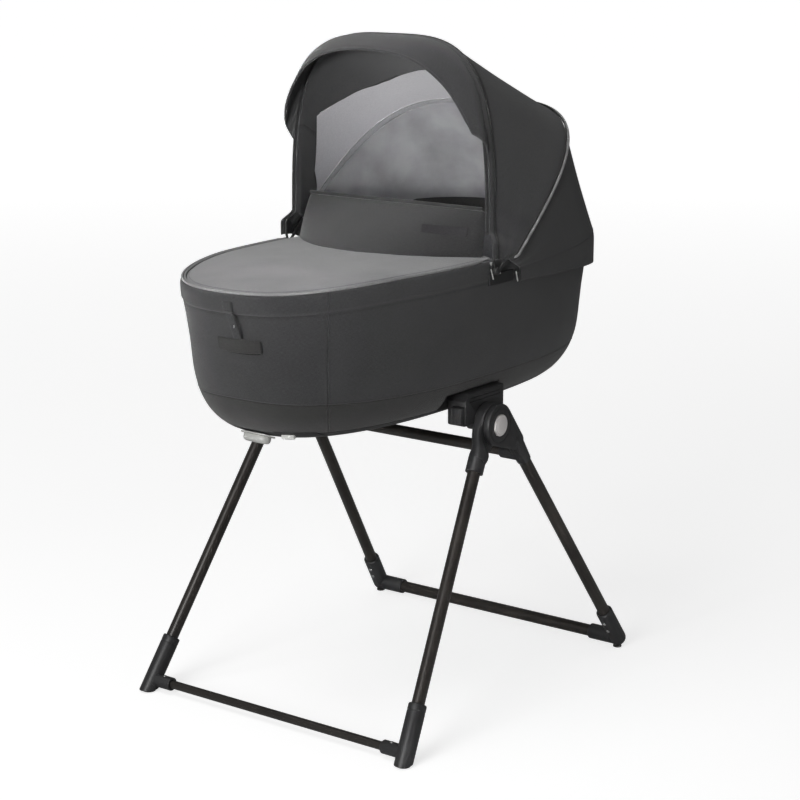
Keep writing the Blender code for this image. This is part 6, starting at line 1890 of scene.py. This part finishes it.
def rear_column(angle, thickness):
    turn = hem_turn(angle)
    back = max(0.0, math.sin(turn)) ** 2
    edge = hem_point(turn, HEM_TOP[0] + HEM_TOP[1] * back, HEM_OUTSET - thickness)
    foot = hem_point(turn, HEM_FOOT[0] + HEM_FOOT[1] * back, HEM_OUTSET - thickness)
    column = between(arch_point("mid", angle, -thickness, -PANEL_GAP), edge, 34,
                     lambda share: rear_out(angle) * (drawn_in(angle, share, 0.0028)
                                                      + (turned_edge(share) if thickness == 0.0 else 0.0)))
    column += [edge.lerp(foot, k / 10) for k in range(1, 11)]
    for _ in range(2):
        softened = [(a + b * 2 + c) / 4 for a, b, c in zip(column, column[1:], column[2:])]
        column = [column[0]] + softened + [column[-1]]
    return column


def band_column(angle, offset):
    crown = 0.0011 if offset == 0.0 else 0.0
    return between(arch_point("front", angle, offset, BAND_DEPTH),
                   arch_point("front", angle, offset, PANEL_GAP), 8,
                   lambda share: outward(angle) * (crown * (math.sin(math.pi * share) ** 0.7 - 0.5)))


def visor_depth(angle):
    share = math.sin((angle - VISOR_FIRST) / (math.pi - 2 * VISOR_FIRST) * math.pi)
    return VISOR_TIP + VISOR_DEPTH * max(0.0, share) ** 0.7


def visor_column(angle, offset, reach=1.0):
    base = arch_point("front", angle, offset, BAND_DEPTH + PANEL_GAP)
    tip = arch_point("visor", math.pi / 2 + (angle - math.pi / 2) * VISOR_CURL, offset, visor_depth(angle))
    return between(base, base.lerp(tip, reach), 24,
                   lambda share: outward(angle) * (
                       0.0085 * math.sin(math.pi * share)
                       + 0.0008 * share * soft(angle * 0.3, share * 0.05, 0.9, 0.05)))


def faces(column, angles, *places):
    """A sheet's two faces: for each place a column of points at every angle."""
    return [[column(angle, place) for angle in angles] for place in places]


hood_angles = hood_turns(150)
canopy("front_canopy", *faces(front_column, hood_angles, 0.0, -FABRIC), CHARCOAL, FRONT_SPAN,
       ("hood_front_panel",), rests_on=("front_bow", "mid_bow"))
canopy("rear_canopy", *faces(rear_column, hood_angles, 0.0, FABRIC), CHARCOAL, REAR_SPAN,
       ("hood_rear_panel",), rests_on=("mid_bow", "side_fabric"))
canopy("bow_sleeve", *faces(band_column, hood_angles, 0.0, -FABRIC), CHARCOAL, "hood_front",
       ("front_band",), rests_on=("front_bow",), hem=0.0004)
visor_angles = [VISOR_FIRST + (math.pi - 2 * VISOR_FIRST) * i / 110 for i in range(111)]
canopy("visor_peak", *faces(visor_column, visor_angles, 0.0, -0.0018), CHARCOAL, "hood_front", ("visor",),
       rests_on=("front_bow",), hem=0.0005)
FACING = woven("facing_melange", *FACING_GREY, thread=0.0010, fleck=0.004, contrast=0.17, bump=0.5,
               sheen=0.2)
canopy("visor_facing", [visor_column(a, -0.0020, 0.97) for a in visor_angles],
       [visor_column(a, -0.0030, 0.97) for a in visor_angles], FACING, "hood_front", ("visor",),
       rests_on=("visor",), hem=0.0003)
visor_edge = [visor_column(a, 0.0)[-1] + outward(a) * -0.0011 for a in visor_angles]
piece("visor_edge_roll", cord_shape(visor_edge, 0.0023, 14, taper=0.25), CHARCOAL, "hood_front",
      ("visor",), slot="charcoal_fabric", smooth=60)
seam_line = [arch_point("front", a, 0.0004, 0.0) for a in hood_angles]
piece("front_seam_cord", cord_shape(seam_line, 0.0012, 8), BAND_CLOTH, "hood_front", ("front_band",),
      slot="charcoal_fabric")
stitched("band_edge_stitches", [arch_point("front", a, 0.0001, 0.0034) for a in hood_angles], "hood_front")
stitched("visor_stitches", [visor_column(a, 0.0)[-3] + outward(a) * 0.0001 for a in visor_angles],
         "hood_front")
spanned(stitched("front_panel_stitches",
                 [front_column(a, 0.0)[1] + outward(a) * 0.0002 for a in hood_angles], None),
        *FRONT_SPAN)
spanned(stitched("hem_stitches",
                 [rear_column(a, 0.0)[33] + rear_out(a) * 0.0003 for a in hood_angles], None),
        *REAR_SPAN)


# Lining, net panel and reflective piping
# Inside, a dark melange facing runs back from the visor to a light silvery lining, bound at the
# middle bow, and a grey net panel closes the back. Bright piping marks the middle bow outside.
LINING_INSET, LINING_THICKNESS, NET_INSET, BINDING_WIDTH = 0.0083, 0.0015, 0.004, 0.017
PIPING_RADIUS, PIPING_LIFT = 0.0024, 0.0027
PIPING_FIRST = math.radians(3.4)
NET_DARK_FOOT_Z = 0.815
FACING_ENDS = ((0, 0.43), (10, 0.455), (20, 0.51), (30, 0.56), (36, 0.55), (40, 0.50), (46, 0.42),
               (50, 0.33), (55, 0.18), (60, 0.27), (68, 0.42), (75, 0.95), (90, 0.95))
COLUMN_TILT = math.radians(59)


def lining_column(angle, offset, start, end, count):
    """Part of the lining's column, shares counted from the front bow's plane to the middle bow's."""
    front = arch_point("front", angle, offset, 0.0)
    rear = arch_point("mid", angle, offset, PANEL_GAP)
    return between(front.lerp(rear, start), front.lerp(rear, end), count,
                   lambda share: outward(angle) * drawn_in(angle, start + (end - start) * share, 0.0026))


def facing_end(angle):
    """Share of the lining's depth that the facing takes: most at the shoulders, least at the visor's ends."""
    return read_curve(FACING_ENDS, abs(math.degrees(angle) - 90))


def facing_column(angle, offset):
    front = arch_point("front", angle, offset, BAND_DEPTH)
    first = lining_column(angle, offset, 0.0, facing_end(angle), 20)
    return [front, front.lerp(first[0], 0.35), front.lerp(first[0], 0.7)] + first


def net_column(angle, thickness, count=34, first=0.0):
    top = arch_point("mid", angle, -LINING_INSET - thickness, -PANEL_GAP)
    low = hem_point(hem_turn(angle), RIM_Z + 0.0006, -NET_INSET - thickness)
    def billow(share):
        share = first + (1 - first) * share
        height = max(0.0, math.sin(angle))
        place = top.lerp(low, share)
        wave = (0.0030 * soft(place.x, place.y, place.z, 0.11)
                + 0.0012 * soft(place.x, place.y, place.z + 1, 0.045))
        return rear_out(angle) * (wave - 0.004 * height) * math.sin(math.pi * share)
    return between(top.lerp(low, first), low, count, billow)


def net_material():
    """Fine warp-knitted net over the dark panel behind it: cloudy grey with rows of small holes."""
    made, tree, shader, place = finish("hood_net", (0.16, 0.16, 0.17), 0.7)
    thread_place = wire(tree, "ShaderNodeAttribute", attribute_name="thread").outputs["Vector"]
    worn = grouped(tree, HANDLED, {"Vector": place, "Cloud Size": 0.075, "Scuff Size": 0.004})
    holes = wire(tree, "ShaderNodeTexVoronoi", {"Vector": thread_place, "Scale": 420.0, "Randomness": 0.25},
                 feature="F1").outputs["Distance"]
    thread = ramp(tree, holes, 0.0, 1.0, 0.18, 0.42)
    cloud = ramp(tree, worn["Cloud"], 0.0, 0.8, 0.32, 0.68)
    tone = figure(tree, "MULTIPLY_ADD", thread, 0.22, cloud)
    tree.links.new(shades(tree, tone, (0.185, 0.185, 0.194), (0.335, 0.335, 0.35)),
                   shader.inputs["Base Color"])
    tree.links.new(ramp(tree, worn["Scuff"], 0.6, 0.8, 0.3, 0.7), shader.inputs["Roughness"])
    bumped(tree, shader, thread, 0.5, 0.0003)
    shader.inputs["Sheen Weight"].default_value = 0.2
    return made


def reflective_piping():
    """Grey retroreflective tape rolled round a cord, with a fine beaded surface and a painted highlight on
    each bead.
    """
    made, tree, shader, place = finish("reflective_piping", (0.5, 0.5, 0.5), 0.4, 0.35)
    thread_place = wire(tree, "ShaderNodeAttribute", attribute_name="thread").outputs["Vector"]
    beads = wire(tree, "ShaderNodeTexVoronoi", {"Vector": thread_place, "Scale": 2600.0},
                 feature="F1").outputs["Distance"]
    worn = grouped(tree, HANDLED, {"Vector": place, "Cloud Size": 0.02, "Scuff Size": 0.0015})
    # Painted highlight and shade: each bead's centre lighter and the gaps between beads darker.
    tone = figure(tree, "MULTIPLY_ADD", beads, -0.5, ramp(tree, worn["Cloud"], 0.4, 1.0, 0.3, 0.7))
    tree.links.new(shades(tree, tone, (0.22, 0.22, 0.22), (0.62, 0.62, 0.62)), shader.inputs["Base Color"])
    tree.links.new(ramp(tree, worn["Scuff"], 0.32, 0.5, 0.3, 0.7), shader.inputs["Roughness"])
    bumped(tree, shader, beads, 0.3, 0.0002)
    return made


SILVER = woven("silver_lining", (0.76, 0.75, 0.785), (0.88, 0.87, 0.90), thread=0.0004, bump=0.18,
               contrast=0.05, roughness=(0.6, 0.75), sheen=0.3)
BINDING = woven("lining_binding", (0.50, 0.50, 0.515), (0.66, 0.66, 0.68), thread=0.0005, bump=0.3,
                contrast=0.05, roughness=(0.6, 0.75))
lined_angles = hood_turns(140, LINING_FIRST_TURN)
offsets = (-LINING_INSET, -LINING_INSET - LINING_THICKNESS)
for name, cloth, chosen in (
        ("hood_facing", FACING, [a for a in lined_angles if abs(a - math.pi / 2) <= COLUMN_TILT]),
        ("column_facing_right", CHARCOAL, [a for a in lined_angles if a < math.pi / 2 - COLUMN_TILT + 0.02]),
        ("column_facing_left", CHARCOAL, [a for a in lined_angles if a > math.pi / 2 + COLUMN_TILT - 0.02])):
    shift = 0.0 if cloth is FACING else -0.0004
    facing = faces(facing_column, chosen, offsets[0] + shift, offsets[1] + shift)
    canopy(name, *facing, cloth, FRONT_SPAN, ("hood_lining",), "lining_fabric", ("front_bow",), 0.0003)
silver = [[lining_column(a, offset, facing_end(a) + 0.0012, 1.0, 26) for a in lined_angles]
          for offset in offsets]
canopy("silver_lining", *silver, SILVER, FRONT_SPAN, ("hood_lining",), "lining_fabric", ("mid_bow",), 0.0002)
seam = [lining_column(a, offsets[1], facing_end(a), 1.0, 1)[0] for a in lined_angles]
spanned(piece("lining_seam", cord_shape(seam, 0.0006, 6), BAND_CLOTH, None, ("hood_lining",),
              slot="lining_fabric"),
        *FRONT_SPAN)


def binding_start(angle, width):
    """Share of the lining's depth at which a strip of the given width before the middle bow begins."""
    depth = (arch_point("front", angle) - arch_point("mid", angle)).length
    return 1 - min(0.4, width / depth)


binding = [[lining_column(a, offset, binding_start(a, BINDING_WIDTH), 1.006, 8) for a in lined_angles]
           for offset in (offsets[1] - 0.0004, offsets[1] - 0.0013)]
canopy("lining_binding", *binding, BINDING, FRONT_SPAN, ("hood_lining",), "lining_fabric", ("mid_bow",),
       0.0002)
edge = [lining_column(a, offsets[1] - 0.0015, binding_start(a, BINDING_WIDTH - 0.002), 1.0, 1)[0]
        for a in lined_angles]
spanned(stitched("binding_stitches", edge, None, slot="lining_fabric"), *FRONT_SPAN)
NET = net_material()

canopy("net_panel", *faces(net_column, lined_angles, 0.0, LINING_THICKNESS), NET, REAR_SPAN,
       ("hood_mesh_panel",), "net_fabric", ("mid_bow", "rim_frame"), 0.0003)


# A strip of the dark band cloth over the net panel's foot, rising higher at the back, so that the net is
# darker there.
def net_dark_foot_column(angle, thickness):
    top_z = arch_point("mid", angle, -LINING_INSET, 0.0).z
    height = 0.006 + (NET_DARK_FOOT_Z - RIM_Z - 0.006) * unit((math.sin(angle) - 0.35) / 0.3)
    share = 1 - min(0.9, height / (top_z - RIM_Z))
    return net_column(angle, LINING_THICKNESS + 0.0005 + thickness, 10, share)


dark_foot_angles = [a for a in lined_angles if 0.4 < a < math.pi - 0.4]
canopy("net_dark_foot", *faces(net_dark_foot_column, dark_foot_angles, 0.0, 0.0010), BAND_CLOTH, REAR_SPAN,
       ("hood_mesh_panel",), "net_fabric", ("rim_frame",), 0.0003)
piping_angles = [a for a in hood_turns(200) if PIPING_FIRST <= a <= math.pi - PIPING_FIRST]
piping_path = [arch_point("mid", a, PIPING_LIFT) for a in piping_angles]
piece("mid_piping_cord", cord_shape(piping_path, PIPING_RADIUS, 14, taper=0.5), reflective_piping(),
      "hood_mid", ("mid_piping",), slot="piping_cord", smooth=60)
flange = [[between(arch_point("mid", a, lift, 0.0062), arch_point("mid", a, lift, -0.0062), 12,
                   lambda share: Vector())
           for a in hood_angles] for lift in (0.0010, 0.0003)]
canopy("piping_flange", *flange, BAND_CLOTH, "hood_mid", ("mid_piping",), "charcoal_fabric",
       ("hood_front_panel",), 0.0002)
for word, forward in (("fore", 0.0044), ("aft", -0.0044)):
    stitched(f"piping_stitches_{word}", [arch_point("mid", a, 0.0012, forward) for a in hood_angles],
             "hood_mid", Radius=0.0004)
